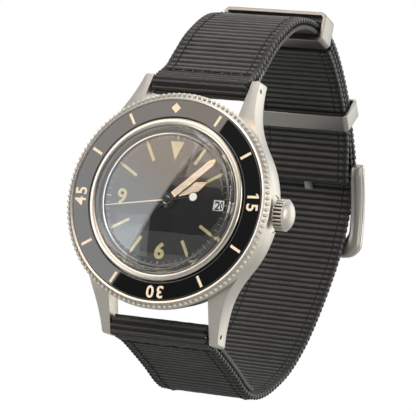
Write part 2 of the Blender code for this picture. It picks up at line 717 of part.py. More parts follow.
def build_hands():
    root = HOUR_TUBE + RUNNING_GAP
    half = HOUR_HAND_WIDTH / 2
    sword = [
        (-2.2, -0.3), (1.3, -0.3), (HOUR_HAND_LENGTH * 0.72, -half), (HOUR_HAND_LENGTH, 0),
        (HOUR_HAND_LENGTH * 0.72, half), (1.3, 0.3), (-2.2, 0.3),
    ]
    hand("hour_hand", sword, HOUR_HAND_Z, root, root + 0.45, HAND_SEAT, HOUR_HAND_ANGLE, ROSE_GOLD)
    root = CANNON_TUBE + RUNNING_GAP
    half = MINUTE_HAND_WIDTH / 2
    pencil = [
        (-2.2, -0.25), (1.4, -0.25), (1.5, -half), (MINUTE_HAND_LENGTH - 1.3, -half),
        (MINUTE_HAND_LENGTH, 0), (MINUTE_HAND_LENGTH - 1.3, half), (1.5, half), (1.4, 0.25),
        (-2.2, 0.25),
    ]
    name = "minute_hand"
    hand(name, pencil, MINUTE_HAND_Z, root, root + 0.45, HAND_SEAT, MINUTE_HAND_ANGLE, ROSE_GOLD)
    half = SECONDS_HAND_WIDTH / 2
    disc = arc((-COUNTERPOISE_REACH, 0), COUNTERPOISE_RADIUS, 10.0, 350.0, 16)
    needle = [(SECONDS_HAND_LENGTH, -half), (SECONDS_HAND_LENGTH, half)] + disc
    root = SECONDS_ARBOR_RADIUS + RUNNING_GAP
    hand("seconds_hand", needle, SECONDS_HAND_Z, root, 0.6, 0.36, SECONDS_HAND_ANGLE, SATIN_BLACK)


# Movement.

def arbor_places():
    return {
        "third": polar(THIRD_DISTANCE, THIRD_ANGLE),
        "escape": polar(ESCAPE_DISTANCE, ESCAPE_ANGLE),
        "barrel": polar(BARREL_DISTANCE, BARREL_ANGLE),
        "pallet": (PALLET_X, PALLET_Y),
        "balance": (BALANCE_X, BALANCE_Y),
    }


def pivot_holes(names, bottom, top):
    places = arbor_places()
    holes = [
        cylinder(PIVOT_RADIUS + RUNNING_GAP, bottom, top, places[name], segments=12)
        for name in names
    ]
    return joined(*holes)


def build_plates():
    outer = lathe([(0, PLATE_BOTTOM), (MOVEMENT_RADIUS, PLATE_BOTTOM),
                   (MOVEMENT_RADIUS, PLATE_TOP), (0, PLATE_TOP)], LARGE)
    plate = finish("main_plate", outer, BRASS)
    cut(plate, cylinder(CENTRE_ARBOR_RADIUS + 0.1, PLATE_BOTTOM - 1, PLATE_TOP + 1, segments=24))
    depth = PLATE_BOTTOM + PIVOT_DEPTH + RUNNING_GAP
    names = ("third", "escape", "pallet", "balance")
    cut(plate, pivot_holes(names, PLATE_BOTTOM - 1, depth))
    stem_half = STEM_RADIUS + SLIDE_GAP
    pinion_half = WINDING_PINION_RADIUS + SLIDE_GAP
    pinion_end = WINDING_PINION_START + WINDING_PINION_LENGTH + SLIDE_GAP
    channel = box(STEM_START - SLIDE_GAP, MOVEMENT_RADIUS + 1, -stem_half, stem_half,
                  PLATE_BOTTOM - 1, STEM_Z + stem_half)
    window = box(CLUTCH_START - SLIDE_GAP, pinion_end, -pinion_half, pinion_half,
                 PLATE_BOTTOM - 1.1, STEM_Z + pinion_half)
    cut(plate, channel)
    cut(plate, window)
    holder = finish("movement_holder", ring(HOLDER_INNER, HOLDER_OUTER, HOLDER_BOTTOM, HOLDER_TOP),
                    NYLON)
    tube_hole = cylinder(TUBE_RADIUS + SLIDE_GAP, HOLDER_INNER - 2, HOLDER_OUTER + 1)
    cut(holder, tube_hole, (0, 0, STEM_Z), (0, 90, 0))


def bridge_blank():
    """The round plate with its rim wall down to the main plate, before it is divided."""
    wall = BRIDGE_RADIUS - BRIDGE_RIM_WALL
    foot = PLATE_BOTTOM - SEAT_GAP
    profile = [(0, BRIDGE_BOTTOM), (BRIDGE_RADIUS, BRIDGE_BOTTOM), (BRIDGE_RADIUS, foot),
               (wall, foot), (wall, BRIDGE_TOP), (0, BRIDGE_TOP)]
    return lathe(profile, LARGE)


def build_bridges():
    low, high = BRIDGE_BOTTOM - 1, PLATE_BOTTOM + 1
    reach = MOVEMENT_RADIUS
    edge = BRIDGE_SPLIT + BRIDGE_SPLIT_WIDTH
    barrel_bridge = finish("barrel_bridge", bridge_blank(), NICKEL)
    cut(barrel_bridge, box(-reach, reach, edge, reach, low, high), operation="INTERSECT")
    arbor = cylinder(BARREL_ARBOR_RADIUS + RUNNING_GAP, low, high, arbor_places()["barrel"])
    cut(barrel_bridge, arbor)
    train = finish("train_bridge", bridge_blank(), NICKEL)
    outline = [
        (reach, BRIDGE_SPLIT), (-reach, BRIDGE_SPLIT), (-reach, -1.0), (-6.2, -1.0), (-5.6, -3.2),
        (-4.9, -5.4), (-2.6, -7.0), (-2.6, -reach), (reach, -reach),
    ]
    cut(train, prism(outline, low, high), operation="INTERSECT")
    stem_room = STEM_RADIUS + SLIDE_GAP + 0.03
    cut(train, box(BRIDGE_RADIUS - 2 * BRIDGE_RIM_WALL, reach + 1, -stem_room, stem_room,
                   STEM_Z - stem_room, high + 1))
    holes = joined(
        pivot_holes(("third", "escape", "pallet"), low, high),
        cylinder(PIVOT_RADIUS + RUNNING_GAP, low, high, segments=12),
    )
    cut(train, holes)
    away = math.hypot(BALANCE_X, BALANCE_Y)
    cock = finish("balance_cock", bridge_blank(), NICKEL)
    finger = box(away - 0.9, reach, -1.5, 1.5, low, high)
    finger.transform(Matrix.Rotation(math.atan2(BALANCE_Y, BALANCE_X), 4, "Z"))
    cut(cock, finger, operation="INTERSECT")
    cut(cock, pivot_holes(("balance",), low, high))
    rotor_bridge = finish("rotor_bridge", prism(
        arc((ROTOR_BRIDGE_HALF_LENGTH - ROTOR_BRIDGE_HALF_WIDTH, 0), ROTOR_BRIDGE_HALF_WIDTH,
            -90.0, 90.0, 8)
        + arc((ROTOR_BRIDGE_HALF_WIDTH - ROTOR_BRIDGE_HALF_LENGTH, 0), ROTOR_BRIDGE_HALF_WIDTH,
              90.0, 270.0, 8),
        ROTOR_BRIDGE_BOTTOM, ROTOR_BRIDGE_TOP), NICKEL)
    for side in (-1, 1):
        x = side * (ROTOR_BRIDGE_HALF_LENGTH - ROTOR_BRIDGE_HALF_WIDTH)
        hole = cylinder(0.5, ROTOR_BRIDGE_BOTTOM - 1, ROTOR_BRIDGE_TOP + 1, (x, 0))
        cut(rotor_bridge, hole)
        screw_hole = cylinder(0.5, low, PLATE_BOTTOM - 1, (x, 0))
        cut(train, screw_hole)
        profile = [
            (0, BRIDGE_TOP - 0.1), (0, ROTOR_BRIDGE_BOTTOM - 0.35), (0.8, ROTOR_BRIDGE_BOTTOM - 0.35),
            (0.8, ROTOR_BRIDGE_BOTTOM - SEAT_GAP), (0.4, ROTOR_BRIDGE_BOTTOM - SEAT_GAP),
            (0.4, BRIDGE_TOP - 0.1),
        ]
        side_name = "left" if side < 0 else "right"
        screw = finish(f"rotor_bridge_screw_{side_name}", lathe(profile, SMALL), STEEL, (x, 0, 0))
        slot_low = ROTOR_BRIDGE_BOTTOM - 1
        cut(screw, box(-1, 1, -0.1, 0.1, slot_low, slot_low + 0.8), (x, 0, 0))


def build_rotor():
    inner = POST_RADIUS + RUNNING_GAP
    plate_top = ROTOR_BOTTOM + ROTOR_PLATE
    weight = ROTOR_RADIUS - ROTOR_WEIGHT_WIDTH
    profile = [
        (inner, ROTOR_BOTTOM), (ROTOR_RADIUS, ROTOR_BOTTOM), (ROTOR_RADIUS, ROTOR_WEIGHT_TOP),
        (weight, ROTOR_WEIGHT_TOP), (weight, plate_top), (inner, plate_top),
    ]
    rotor = finish("winding_rotor", lathe(profile, HALF_TURN_STEPS, 180.0, 180.0), TUNGSTEN)
    cut(rotor, ring(inner, ROTOR_HUB_RADIUS, ROTOR_BOTTOM, ROTOR_HUB_TOP, 24), operation="UNION")
    post = [
        (0, POST_HEAD_BOTTOM), (POST_HEAD_RADIUS, POST_HEAD_BOTTOM),
        (POST_HEAD_RADIUS, ROTOR_BOTTOM - SEAT_GAP), (POST_RADIUS, ROTOR_BOTTOM - SEAT_GAP),
        (POST_RADIUS, ROTOR_BRIDGE_BOTTOM - SEAT_GAP), (0, ROTOR_BRIDGE_BOTTOM - SEAT_GAP),
    ]
    finish("rotor_bearing", lathe(post, 24), STEEL)


def arbor_profile(low, high, bridge_pivot, plate_pivot):
    """A plain arbor with a thinner pivot at each end."""
    shoulder = 0.1
    return [
        (0, low - bridge_pivot), (PIVOT_RADIUS, low - bridge_pivot), (PIVOT_RADIUS, low + shoulder),
        (ARBOR_RADIUS, low + shoulder), (ARBOR_RADIUS, high - shoulder),
        (PIVOT_RADIUS, high - shoulder), (PIVOT_RADIUS, high + plate_pivot),
        (0, high + plate_pivot),
    ]


def build_train():
    places = arbor_places()
    low = BRIDGE_TOP
    high = PLATE_BOTTOM
    fourth_radius, escape_pinion = pitch_radii(ESCAPE_DISTANCE, FOURTH_TEETH, ESCAPE_LEAVES)
    third_radius, fourth_pinion = pitch_radii(THIRD_DISTANCE, THIRD_TEETH, FOURTH_LEAVES)
    centre_radius, third_pinion = pitch_radii(THIRD_DISTANCE, CENTRE_TEETH, THIRD_LEAVES)
    barrel_radius, centre_pinion = pitch_radii(BARREL_DISTANCE, BARREL_TEETH, CENTRE_LEAVES)
    thick = WHEEL_THICKNESS

    fourth = finish("fourth_wheel", gear(FOURTH_TEETH, fourth_radius, FOURTH_WHEEL_Z, thick,
                                         ESCAPE_ANGLE), BRASS)
    fourth_arbor = lathe([
        (0, low - PIVOT_DEPTH), (PIVOT_RADIUS, low - PIVOT_DEPTH), (PIVOT_RADIUS, low + 0.1),
        (SECONDS_ARBOR_RADIUS, low + 0.1), (SECONDS_ARBOR_RADIUS, SECONDS_HAND_Z + HAND_SEAT),
        (0, SECONDS_HAND_Z + HAND_SEAT)], SMALL)
    cut(fourth, fourth_arbor, operation="UNION")
    pinion_height = CENTRE_PINION_Z - FOURTH_PINION_Z - 0.15
    pinion = gear(FOURTH_LEAVES, fourth_pinion, FOURTH_PINION_Z, pinion_height,
                  meshing(FOURTH_LEAVES, THIRD_ANGLE))
    cut(fourth, pinion, operation="UNION")

    third = finish("third_wheel", gear(THIRD_TEETH, third_radius, THIRD_WHEEL_Z, thick,
                                       THIRD_ANGLE + 180.0), BRASS, (*places["third"], 0))
    cut(third, lathe(arbor_profile(low, high, PIVOT_DEPTH, PIVOT_DEPTH), SMALL),
        (*places["third"], 0), operation="UNION")
    pinion = gear(THIRD_LEAVES, third_pinion, CENTRE_WHEEL_Z - 0.1, thick + 0.15,
                  meshing(THIRD_LEAVES, THIRD_ANGLE + 180.0))
    cut(third, pinion, (*places["third"], 0), operation="UNION")

    centre = finish("centre_wheel", gear(CENTRE_TEETH, centre_radius, CENTRE_WHEEL_Z, thick,
                                         THIRD_ANGLE), BRASS)
    pinion = gear(CENTRE_LEAVES, centre_pinion, CENTRE_PINION_Z, BARREL_TOP - CENTRE_PINION_Z,
                  meshing(CENTRE_LEAVES, BARREL_ANGLE))
    cut(centre, pinion, operation="UNION")
    sleeve_top = HOUR_WHEEL_Z + 0.4
    cut(centre, cylinder(CENTRE_ARBOR_RADIUS, CENTRE_PINION_Z + 0.02, sleeve_top),
        operation="UNION")
    cut(centre, cylinder(CENTRE_ARBOR_BORE, CENTRE_PINION_Z - 1, sleeve_top + 1))

    barrel = finish("mainspring_barrel", gear(BARREL_TEETH, barrel_radius, CENTRE_PINION_Z + 0.02,
                                              BARREL_TOP - CENTRE_PINION_Z - 0.02,
                                              BARREL_ANGLE + 180.0), BRASS, (*places["barrel"], 0))
    drum = cylinder(barrel_radius - BARREL_DRUM_INSET, BARREL_BOTTOM, BARREL_TOP - 0.01,
                    segments=MEDIUM)
    cut(barrel, drum, (*places["barrel"], 0), operation="UNION")
    bore = cylinder(BARREL_ARBOR_RADIUS + RUNNING_GAP, BARREL_BOTTOM - 1, BARREL_TOP + 1)
    cut(barrel, bore, (*places["barrel"], 0))

    ratchet = finish("ratchet_wheel", gear(RATCHET_TEETH, RATCHET_RADIUS, RATCHET_Z,
                                           RATCHET_THICKNESS, 0.0), STEEL, (*places["barrel"], 0))
    barrel_arbor = cylinder(BARREL_ARBOR_RADIUS, RATCHET_Z + 0.02, high - SEAT_GAP)
    cut(ratchet, barrel_arbor, (*places["barrel"], 0), operation="UNION")

    escape = finish("escape_wheel", gear(ESCAPE_TEETH, ESCAPE_WHEEL_RADIUS, ESCAPE_WHEEL_Z, thick,
                                         0.0), STEEL, (*places["escape"], 0))
    cut(escape, lathe(arbor_profile(low, high, PIVOT_DEPTH, PIVOT_DEPTH), SMALL),
        (*places["escape"], 0), operation="UNION")
    pinion = gear(ESCAPE_LEAVES, escape_pinion, FOURTH_WHEEL_Z - 0.05, thick + 0.1,
                  meshing(ESCAPE_LEAVES, ESCAPE_ANGLE + 180.0))
    cut(escape, pinion, (*places["escape"], 0), operation="UNION")


def build_escapement():
    places = arbor_places()
    low = BRIDGE_TOP
    high = PLATE_BOTTOM
    to_escape = Vector(places["escape"]) - Vector(places["pallet"])
    to_balance = Vector(places["balance"]) - Vector(places["pallet"])
    ahead = to_escape.normalized()
    side = Vector((-ahead.y, ahead.x))
    lever = to_balance.normalized()
    lever_side = Vector((-lever.y, lever.x))
    reach = to_balance.length - 0.75
    reach_in = 0.9
    spread = 1.45
    arms = [
        ahead * 0.3 + side * 0.3, side * spread + ahead * reach_in, side * spread - ahead * 0.1,
        -ahead * 0.2, -side * spread - ahead * 0.1, -side * spread + ahead * reach_in,
        ahead * 0.3 - side * 0.3,
    ]
    thick = WHEEL_THICKNESS
    fork = finish("pallet_fork", prism([tuple(p) for p in arms], ESCAPE_WHEEL_Z,
                                       ESCAPE_WHEEL_Z + thick), STEEL, (*places["pallet"], 0))
    bar = [lever * reach + lever_side * 0.12, -lever * 0.1 + lever_side * 0.2,
           -lever * 0.1 - lever_side * 0.2, lever * reach - lever_side * 0.12]
    cut(fork, prism([tuple(p) for p in bar], ESCAPE_WHEEL_Z + 0.02, ESCAPE_WHEEL_Z + thick - 0.02),
        (*places["pallet"], 0), operation="UNION")
    cut(fork, lathe(arbor_profile(low, high, PIVOT_DEPTH, PIVOT_DEPTH), SMALL),
        (*places["pallet"], 0), operation="UNION")

    at = (*places["balance"], 0)
    rim = ring(BALANCE_RADIUS - BALANCE_RIM, BALANCE_RADIUS, BALANCE_Z,
               BALANCE_Z + BALANCE_THICKNESS, MEDIUM)
    balance = finish("balance_wheel", rim, BRASS, at)
    inside = BALANCE_RADIUS - BALANCE_RIM / 2
    spoke_top = BALANCE_Z + BALANCE_THICKNESS - 0.03
    cut(balance, box(-inside, inside, -0.2, 0.2, BALANCE_Z + 0.03, spoke_top), at,
        operation="UNION")
    staff = lathe(arbor_profile(low, high, PIVOT_DEPTH, PIVOT_DEPTH), SMALL)
    cut(balance, staff, at, operation="UNION")
    roller_z = ESCAPE_WHEEL_Z - 0.1
    cut(balance, cylinder(0.5, roller_z, roller_z + 0.3, segments=SMALL), at, operation="UNION")

    turns = []
    steps = int(HAIRSPRING_TURNS * SPRING_STEPS)
    for step in range(steps + 1):
        angle = TAU * HAIRSPRING_TURNS * step / steps
        turns.append(tuple(Vector(polar(HAIRSPRING_INNER + HAIRSPRING_PITCH * angle / TAU,
                                        math.degrees(angle)))))
    spring = prism(ribbon(turns, HAIRSPRING_WIDTH), HAIRSPRING_Z, HAIRSPRING_Z + 0.18)
    finish("hairspring", spring, BLUED, at, smooth=False)


def build_motion_work():
    at = (*polar(MOTION_DISTANCE, MOTION_ANGLE), 0)
    cannon_radius, minute_radius = pitch_radii(MOTION_DISTANCE, CANNON_LEAVES, MINUTE_WHEEL_TEETH)
    pinion_radius, hour_radius = pitch_radii(MOTION_DISTANCE, MINUTE_PINION_LEAVES,
                                             HOUR_WHEEL_TEETH)
    cannon = finish("cannon_pinion", gear(CANNON_LEAVES, cannon_radius, CANNON_Z,
                                          CANNON_LEAF_HEIGHT, MOTION_ANGLE), STEEL)
    tube_top = MINUTE_HAND_Z + HAND_SEAT
    cut(cannon, cylinder(CANNON_TUBE, CANNON_Z + CANNON_LEAF_HEIGHT - 0.05, tube_top, segments=24),
        operation="UNION")
    cut(cannon, cylinder(CANNON_BORE, CANNON_Z - 1, tube_top + 1, segments=24))

    minute = finish("minute_wheel", gear(MINUTE_WHEEL_TEETH, minute_radius, CANNON_Z + 0.02,
                                         WHEEL_THICKNESS, meshing(MINUTE_WHEEL_TEETH,
                                                                  MOTION_ANGLE + 180.0)), BRASS, at)
    leaves = gear(MINUTE_PINION_LEAVES, pinion_radius, CANNON_Z + 0.1, HOUR_WHEEL_Z - CANNON_Z + 0.1,
                  MOTION_ANGLE + 180.0)
    cut(minute, leaves, at, operation="UNION")

    hour = finish("hour_wheel", gear(HOUR_WHEEL_TEETH, hour_radius, HOUR_WHEEL_Z, WHEEL_THICKNESS,
                                     meshing(HOUR_WHEEL_TEETH, MOTION_ANGLE)), BRASS)
    tube_top = HOUR_HAND_Z + HAND_SEAT
    cut(hour, cylinder(HOUR_TUBE, HOUR_WHEEL_Z + 0.02, tube_top, segments=24), operation="UNION")
    cut(hour, cylinder(HOUR_TUBE_BORE, HOUR_WHEEL_Z - 1, tube_top + 1, segments=24))


def along_crown(name, profile, segments, material):
    return finish(name, lathe(profile, segments), material, (0, 0, STEM_Z), (0, 90, 0))


def build_crown():
    tube = [(TUBE_BORE, TUBE_START), (TUBE_RADIUS, TUBE_START), (TUBE_RADIUS, TUBE_END),
            (TUBE_BORE, TUBE_END)]
    along_crown("crown_tube", tube, 24, STEEL)
    flutes = []
    steps = CROWN_FLUTES * 4
    for step in range(steps):
        deep = step % 4 in (0, 1)
        radius = CROWN_RADIUS - (CROWN_FLUTE_DEPTH if deep else 0)
        flutes.append(polar(radius, 360.0 * (step + (0.2 if deep else -0.2)) / steps))
    fluted_end = CROWN_START + CROWN_FLUTED
    body = prism(flutes, CROWN_START, fluted_end)
    crown = finish("crown", body, STEEL, (0, 0, STEM_Z), (0, 90, 0), smooth=False)
    cap_radius = CROWN_RADIUS - 0.1
    cap_end = CROWN_START + CROWN_LENGTH
    cap_rise = cap_end - fluted_end - 0.35
    dome = [(cap_radius * t, cap_end - cap_rise * t * t) for t in (1.0, 0.8, 0.6, 0.4, 0.2)]
    cap = [(0, fluted_end - 0.3), (cap_radius, fluted_end - 0.3)] + dome + [(0, cap_end)]
    cut(crown, lathe(cap, MEDIUM), (0, 0, STEM_Z), (0, 90, 0), "UNION")
    bore = cylinder(CROWN_BORE, CROWN_START - 1, CROWN_START + CROWN_BORE_DEPTH, segments=24)
    cut(crown, bore, (0, 0, STEM_Z), (0, 90, 0))
    seal_start = CROWN_START + 0.5
    seal = [(TUBE_RADIUS + 0.03, seal_start), (CROWN_BORE - 0.03, seal_start),
            (CROWN_BORE - 0.03, seal_start + 0.4), (TUBE_RADIUS + 0.03, seal_start + 0.4)]
    along_crown("crown_gasket", seal, 24, RUBBER)
    stem_end = CROWN_START + CROWN_BORE_DEPTH - SEAT_GAP
    stem = [(0, STEM_START), (STEM_RADIUS, STEM_START), (STEM_RADIUS, stem_end), (0, stem_end)]
    along_crown("winding_stem", stem, 12, STEEL)
    bore_radius = STEM_RADIUS + RUNNING_GAP
    pieces = (
        ("sliding_pinion", CLUTCH_START, CLUTCH_LENGTH, CLUTCH_RADIUS),
        ("winding_pinion", WINDING_PINION_START, WINDING_PINION_LENGTH, WINDING_PINION_RADIUS),
    )
    for name, start, length, radius in pieces:
        outline = toothed_outline(14, radius - 0.1, 0.0)
        pinion = finish(name, prism(outline, start, start + length), STEEL, (0, 0, STEM_Z),
                        (0, 90, 0), smooth=False)
        bore = cylinder(bore_radius, start - 1, start + length + 1, segments=12)
        cut(pinion, bore, (0, 0, STEM_Z), (0, 90, 0))


# Spring bars, strap, buckle and keepers.

def build_spring_bar(name, y):
    half = BAR_LENGTH / 2
    bar = finish(name, cylinder(BAR_RADIUS, -half, half), STEEL, (0, y, BAR_Z), (0, 90, 0))
    bore = BAR_TIP_RADIUS + RUNNING_GAP
    deep = BAR_TIP_INSIDE
    bores = joined(cylinder(bore, half - deep, half + 1, segments=12),
                   cylinder(bore, -half - 1, deep - half, segments=12))
    cut(bar, bores, (0, y, BAR_Z), (0, 90, 0))
    start = half - deep + 1.6
    for side, label in ((1, "right"), (-1, "left")):
        pin = cylinder(BAR_TIP_RADIUS, start, BAR_TIP_REACH, segments=12)
        finish(f"{name}_tip_{label}", pin, STEEL, (0, y, BAR_Z), (0, 90 * side, 0))


def wrap(centre, start, end):
    """The middle of the webbing on its turn round a bar, from one angle to another."""
    turn = BAR_RADIUS + LOOP_CLEARANCE + WEBBING / 2
    return arc(centre, turn, start, end, max(2, round(abs(end - start) / 22.5)))


def lying_on(path, distance, highest, lowest):
    """The part of the path between two heights, moved to its left by a number of layers."""
    layer = WEBBING + LAYER_GAP
    return [point for point in shifted(path, distance * layer) if lowest < point[1] < highest]


def main_layer():
    """The middle of the upper strap's outer layer in y and z, from the lugs to the buckle."""
    outer_face = [
        (27.5, 0.4), (31.4, -2.5), (35.5, -5.9), (40.4, -12.1), (42.9, -18.0), (43.7, -24.5),
        (42.8, -30.4), (40.8, -36.2), (36.6, -43.0), (31.2, -49.2), (24.6, -54.4),
    ]
    path = shifted(smooth_path(outer_face, PATH_STEP), -WEBBING / 2)
    return [wrap((BAR_Y, BAR_Z), 52.0, 60.0)[0], *path]


def build_strap():
    main = main_layer()
    case_bar = (BAR_Y, BAR_Z)
    buckle_bar = (BUCKLE_BAR_Y, BUCKLE_BAR_Z)
    far_fold = lying_on(main, -1, UPPER_FOLD_TOP, BUCKLE_BAR_Z + 3.6)
    near_fold = lying_on(main, -1, -2.5, UPPER_FOLD_BOTTOM)
    route = far_fold + wrap(buckle_bar, 118.0, 308.0) + main[::-1][1:-1]
    route += wrap(case_bar, 52.0, 245.0) + near_fold
    upper = finish("strap_upper", across(ribbon(route, WEBBING), STRAP_WIDTH / 2), WEBBING_BLACK)
    notch = TONGUE_WIDTH / 2 + 0.3
    low_edge = BUCKLE_BAR_Z - 3
    cut(upper, box(-notch, notch, BUCKLE_BAR_Y - 3, BUCKLE_BAR_Y + 1.9, low_edge, low_edge + 6))

    outer_face = [
        (24.3, -56.8), (22.0, -58.0), (19.6, -58.75), (13.5, -59.0), (7.0, -58.3), (1.3, -56.6),
        (-2.3, -55.0), (-7.8, -52.2), (-13.3, -48.9), (-18.8, -44.8), (-24.5, -38.8),
        (-29.2, -30.7), (-31.3, -24.0), (-31.0, -19.0), (-28.9, -12.6), (-26.9, -5.8),
        (-25.6, -0.8),
    ]
    under = shifted(smooth_path(outer_face, PATH_STEP), -WEBBING / 2)
    tail = lying_on(main, 1, TAIL_TIP, BUCKLE_BAR_Z + 3.4)
    lower_bar = (-BAR_Y, BAR_Z)
    fold = lying_on(under[len(under) // 2:], -1, -3.0, LOWER_FOLD_BOTTOM)[::-1]
    route = tail + under + wrap(lower_bar, 172.0, -20.0) + fold
    lower = finish("strap_lower", across(ribbon(route, WEBBING), STRAP_WIDTH / 2), WEBBING_BLACK)
    slot = TONGUE_WIDTH / 2 + 0.15
    cut(lower, box(-slot, slot, BUCKLE_BAR_Y - 9.0, BUCKLE_BAR_Y + 0.8, -60, -54))


def build_buckle():
    at = (0, BUCKLE_BAR_Y, BUCKLE_BAR_Z)
    half_in = BUCKLE_INNER_WIDTH / 2
    half_out = half_in + BUCKLE_RAIL
    low = -BUCKLE_REACH
    levels = [2.4, 0.6, -0.7, low * 0.3, low * 0.5, low * 0.62]
    outer = [(half_out, y) for y in levels]
    inner = [(half_in, y) for y in levels]
    corner_out, corner_in = 3.2, 2.6
    bar_top = low + BUCKLE_CROSS_RAIL
    outer += arc((half_out - corner_out, low + corner_out), corner_out, 0.0, -90.0, 4)
    inner += arc((half_in - corner_in, bar_top + corner_in), corner_in, 0.0, -90.0, 4)
    outer += [(-x, y) for x, y in reversed(outer)]
    inner += [(-x, y) for x, y in reversed(inner)]
    half_deep = BUCKLE_DEPTH / 2

    def bowed(point, z):
        share = (point[1] - low / 2) / (low / 2)
        return (*point, z - BUCKLE_BOW * max(0.0, 1 - share * share))

    frame_mesh = bmesh.new()
    loops = []
    for z in (-half_deep, half_deep):
        for outline in (inner, outer):
            loops.append([frame_mesh.verts.new(bowed(point, z)) for point in outline])
    for one, two in ((0, 1), (1, 3), (3, 2), (2, 0)):
        for index in range(len(inner) - 1):
            corners = (loops[one][index], loops[one][index + 1],
                       loops[two][index + 1], loops[two][index])
            frame_mesh.faces.new(corners)
    for index in (0, -1):
        frame_mesh.faces.new([loops[loop][index] for loop in (0, 1, 3, 2)])
    frame = finish("buckle_frame", frame_mesh, STEEL, at, (BUCKLE_TILT, 0, 0))
    hole = cylinder(BUCKLE_BAR_RADIUS * 0.55 + RUNNING_GAP, -half_out - 1, half_out + 1, segments=12)
    cut(frame, hole, at, (0, 90, 0))
    bar_half = half_in - 0.15
    bar = [(0, -half_out + 0.4), (BUCKLE_BAR_RADIUS * 0.55, -half_out + 0.4),
           (BUCKLE_BAR_RADIUS * 0.55, -bar_half), (BUCKLE_BAR_RADIUS, -bar_half),
           (BUCKLE_BAR_RADIUS, bar_half), (BUCKLE_BAR_RADIUS * 0.55, bar_half),
           (BUCKLE_BAR_RADIUS * 0.55, half_out - 0.4), (0, half_out - 0.4)]
    finish("buckle_bar", lathe(bar, SMALL), STEEL, at, (0, 90, 0))

    half_thick = TONGUE_THICKNESS / 2
    tip = low - 0.2
    rest = half_deep + half_thick + 0.12
    blade = [(-1.0, -0.4), (-3.0, -0.9 - half_thick), (-8.0, -rest - 0.9), (low + 3.0, -rest - 0.35),
             (tip, -rest + 0.2), (tip, -rest - half_thick), (low + 2.6, -rest - 0.4 - half_thick * 2),
             (-8.0, -rest - 0.9 - half_thick * 2), (-2.6, -1.0 - half_thick * 2), (-0.3, -1.2)]
    tongue = finish("buckle_tongue", across(blade, TONGUE_WIDTH / 2), STEEL, at,
                    (BUCKLE_TILT, 0, 0), smooth=False)
    cut(tongue, cylinder(TONGUE_RING, -TONGUE_WIDTH / 2 + 0.01, TONGUE_WIDTH / 2 - 0.01), at,
        (0, 90, 0), "UNION")
    bore = cylinder(BUCKLE_BAR_RADIUS + RUNNING_GAP, -TONGUE_WIDTH, TONGUE_WIDTH)
    cut(tongue, bore, at, (0, 90, 0))


def keeper(name, at, tilt, inside_width, inside_height, plate, length):
    """A flat band bent into a rectangular ring round the strap, with rounded corners."""
    def rounded(half_width, half_height, corner):
        points = []
        for x, y, start in ((1, 1, 0), (-1, 1, 90), (-1, -1, 180), (1, -1, 270)):
            centre = (x * (half_width - corner), y * (half_height - corner))
            points += arc(centre, corner, start, start + 90.0, 3)
        return points
    inner = rounded(inside_width / 2, inside_height / 2, 0.4)
    outer = rounded(inside_width / 2 + plate, inside_height / 2 + plate, 0.4 + plate)
    mesh = bmesh.new()
    loops = []
    for z in (-length / 2, length / 2):
        for outline in (inner, outer):
            loops.append([mesh.verts.new((x, y, z)) for x, y in outline])
    for one, two in ((0, 1), (1, 3), (3, 2), (2, 0)):
        for index in range(len(inner)):
            after = (index + 1) % len(inner)
            mesh.faces.new((loops[one][index], loops[one][after], loops[two][after],
                            loops[two][index]))
    return finish(name, mesh, STEEL, at, (tilt, 0, 0))


def place_on(path, height):
    """The point of a path at a height, and the tilt about x that lines z up with the path there."""
    index = min(range(1, len(path)), key=lambda number: abs(path[number][1] - height))
    along = Vector(path[index - 1]) - Vector(path[index])
    return Vector(path[index]), -math.degrees(math.atan2(along.x, along.y))


def build_keepers():
    main = main_layer()
    width = STRAP_WIDTH + 2 * KEEPER_CLEARANCE
    height = 3 * WEBBING + 2 * LAYER_GAP
    for name, level, shift, plate, slack, length in (
        ("fixed_keeper", KEEPER_HEIGHT, -KEEPER_INWARD, KEEPER_PLATE, KEEPER_SLACK, KEEPER_LENGTH),
        ("loose_keeper", LOOSE_KEEPER_AT, LOOSE_KEEPER_OUTWARD, LOOSE_KEEPER_PLATE,
         LOOSE_KEEPER_SLACK, LOOSE_KEEPER_LENGTH),
    ):
        middle, tilt = place_on(main, level)
        outwards = Vector((math.cos(math.radians(tilt)), math.sin(math.radians(tilt))))
        keeper(name, (0, *(middle + shift * outwards)), tilt, width, height + slack, plate, length)


clear_scene()
DIAL_FRAME = bpy.data.objects.new("dial_frame", None)
DIAL_FRAME.rotation_euler = (math.radians(90), 0, 0)
bpy.context.collection.objects.link(DIAL_FRAME)

CUTTER = finish_material("cutter", (0.8, 0.2, 0.2), 0.5, 0.0)
STEEL = finish_material("blasted_steel", (0.62, 0.60, 0.56), 0.38, 1.0)
NICKEL = finish_material("nickel_plate", (0.70, 0.68, 0.63), 0.30, 1.0)
BRASS = finish_material("brass", (0.78, 0.60, 0.30), 0.30, 1.0)
TUNGSTEN = finish_material("tungsten", (0.45, 0.44, 0.42), 0.35, 1.0)
BLUED = finish_material("blued_spring", (0.10, 0.14, 0.40), 0.25, 1.0)
ROSE_GOLD = finish_material("rose_gold", (0.80, 0.52, 0.33), 0.18, 1.0)
GLASS = finish_material("crystal_glass", (0.90, 0.93, 0.95), 0.02, 0.0)
GLOSS_BLACK = finish_material("insert_black", (0.008, 0.008, 0.009), 0.06, 0.0)
MATT_BLACK = finish_material("dial_black", (0.012, 0.012, 0.013), 0.55, 0.0)
SATIN_BLACK = finish_material("satin_black", (0.02, 0.02, 0.02), 0.35, 0.0)
PALE_PAINT = finish_material("date_white", (0.80, 0.78, 0.72), 0.50, 0.0)
RUBBER = finish_material("gasket_rubber", (0.02, 0.02, 0.02), 0.60, 0.0)
NYLON = finish_material("white_nylon", (0.75, 0.74, 0.70), 0.45, 0.0)
WEBBING_BLACK = finish_material("black_webbing", (0.015, 0.015, 0.016), 0.75, 0.0)

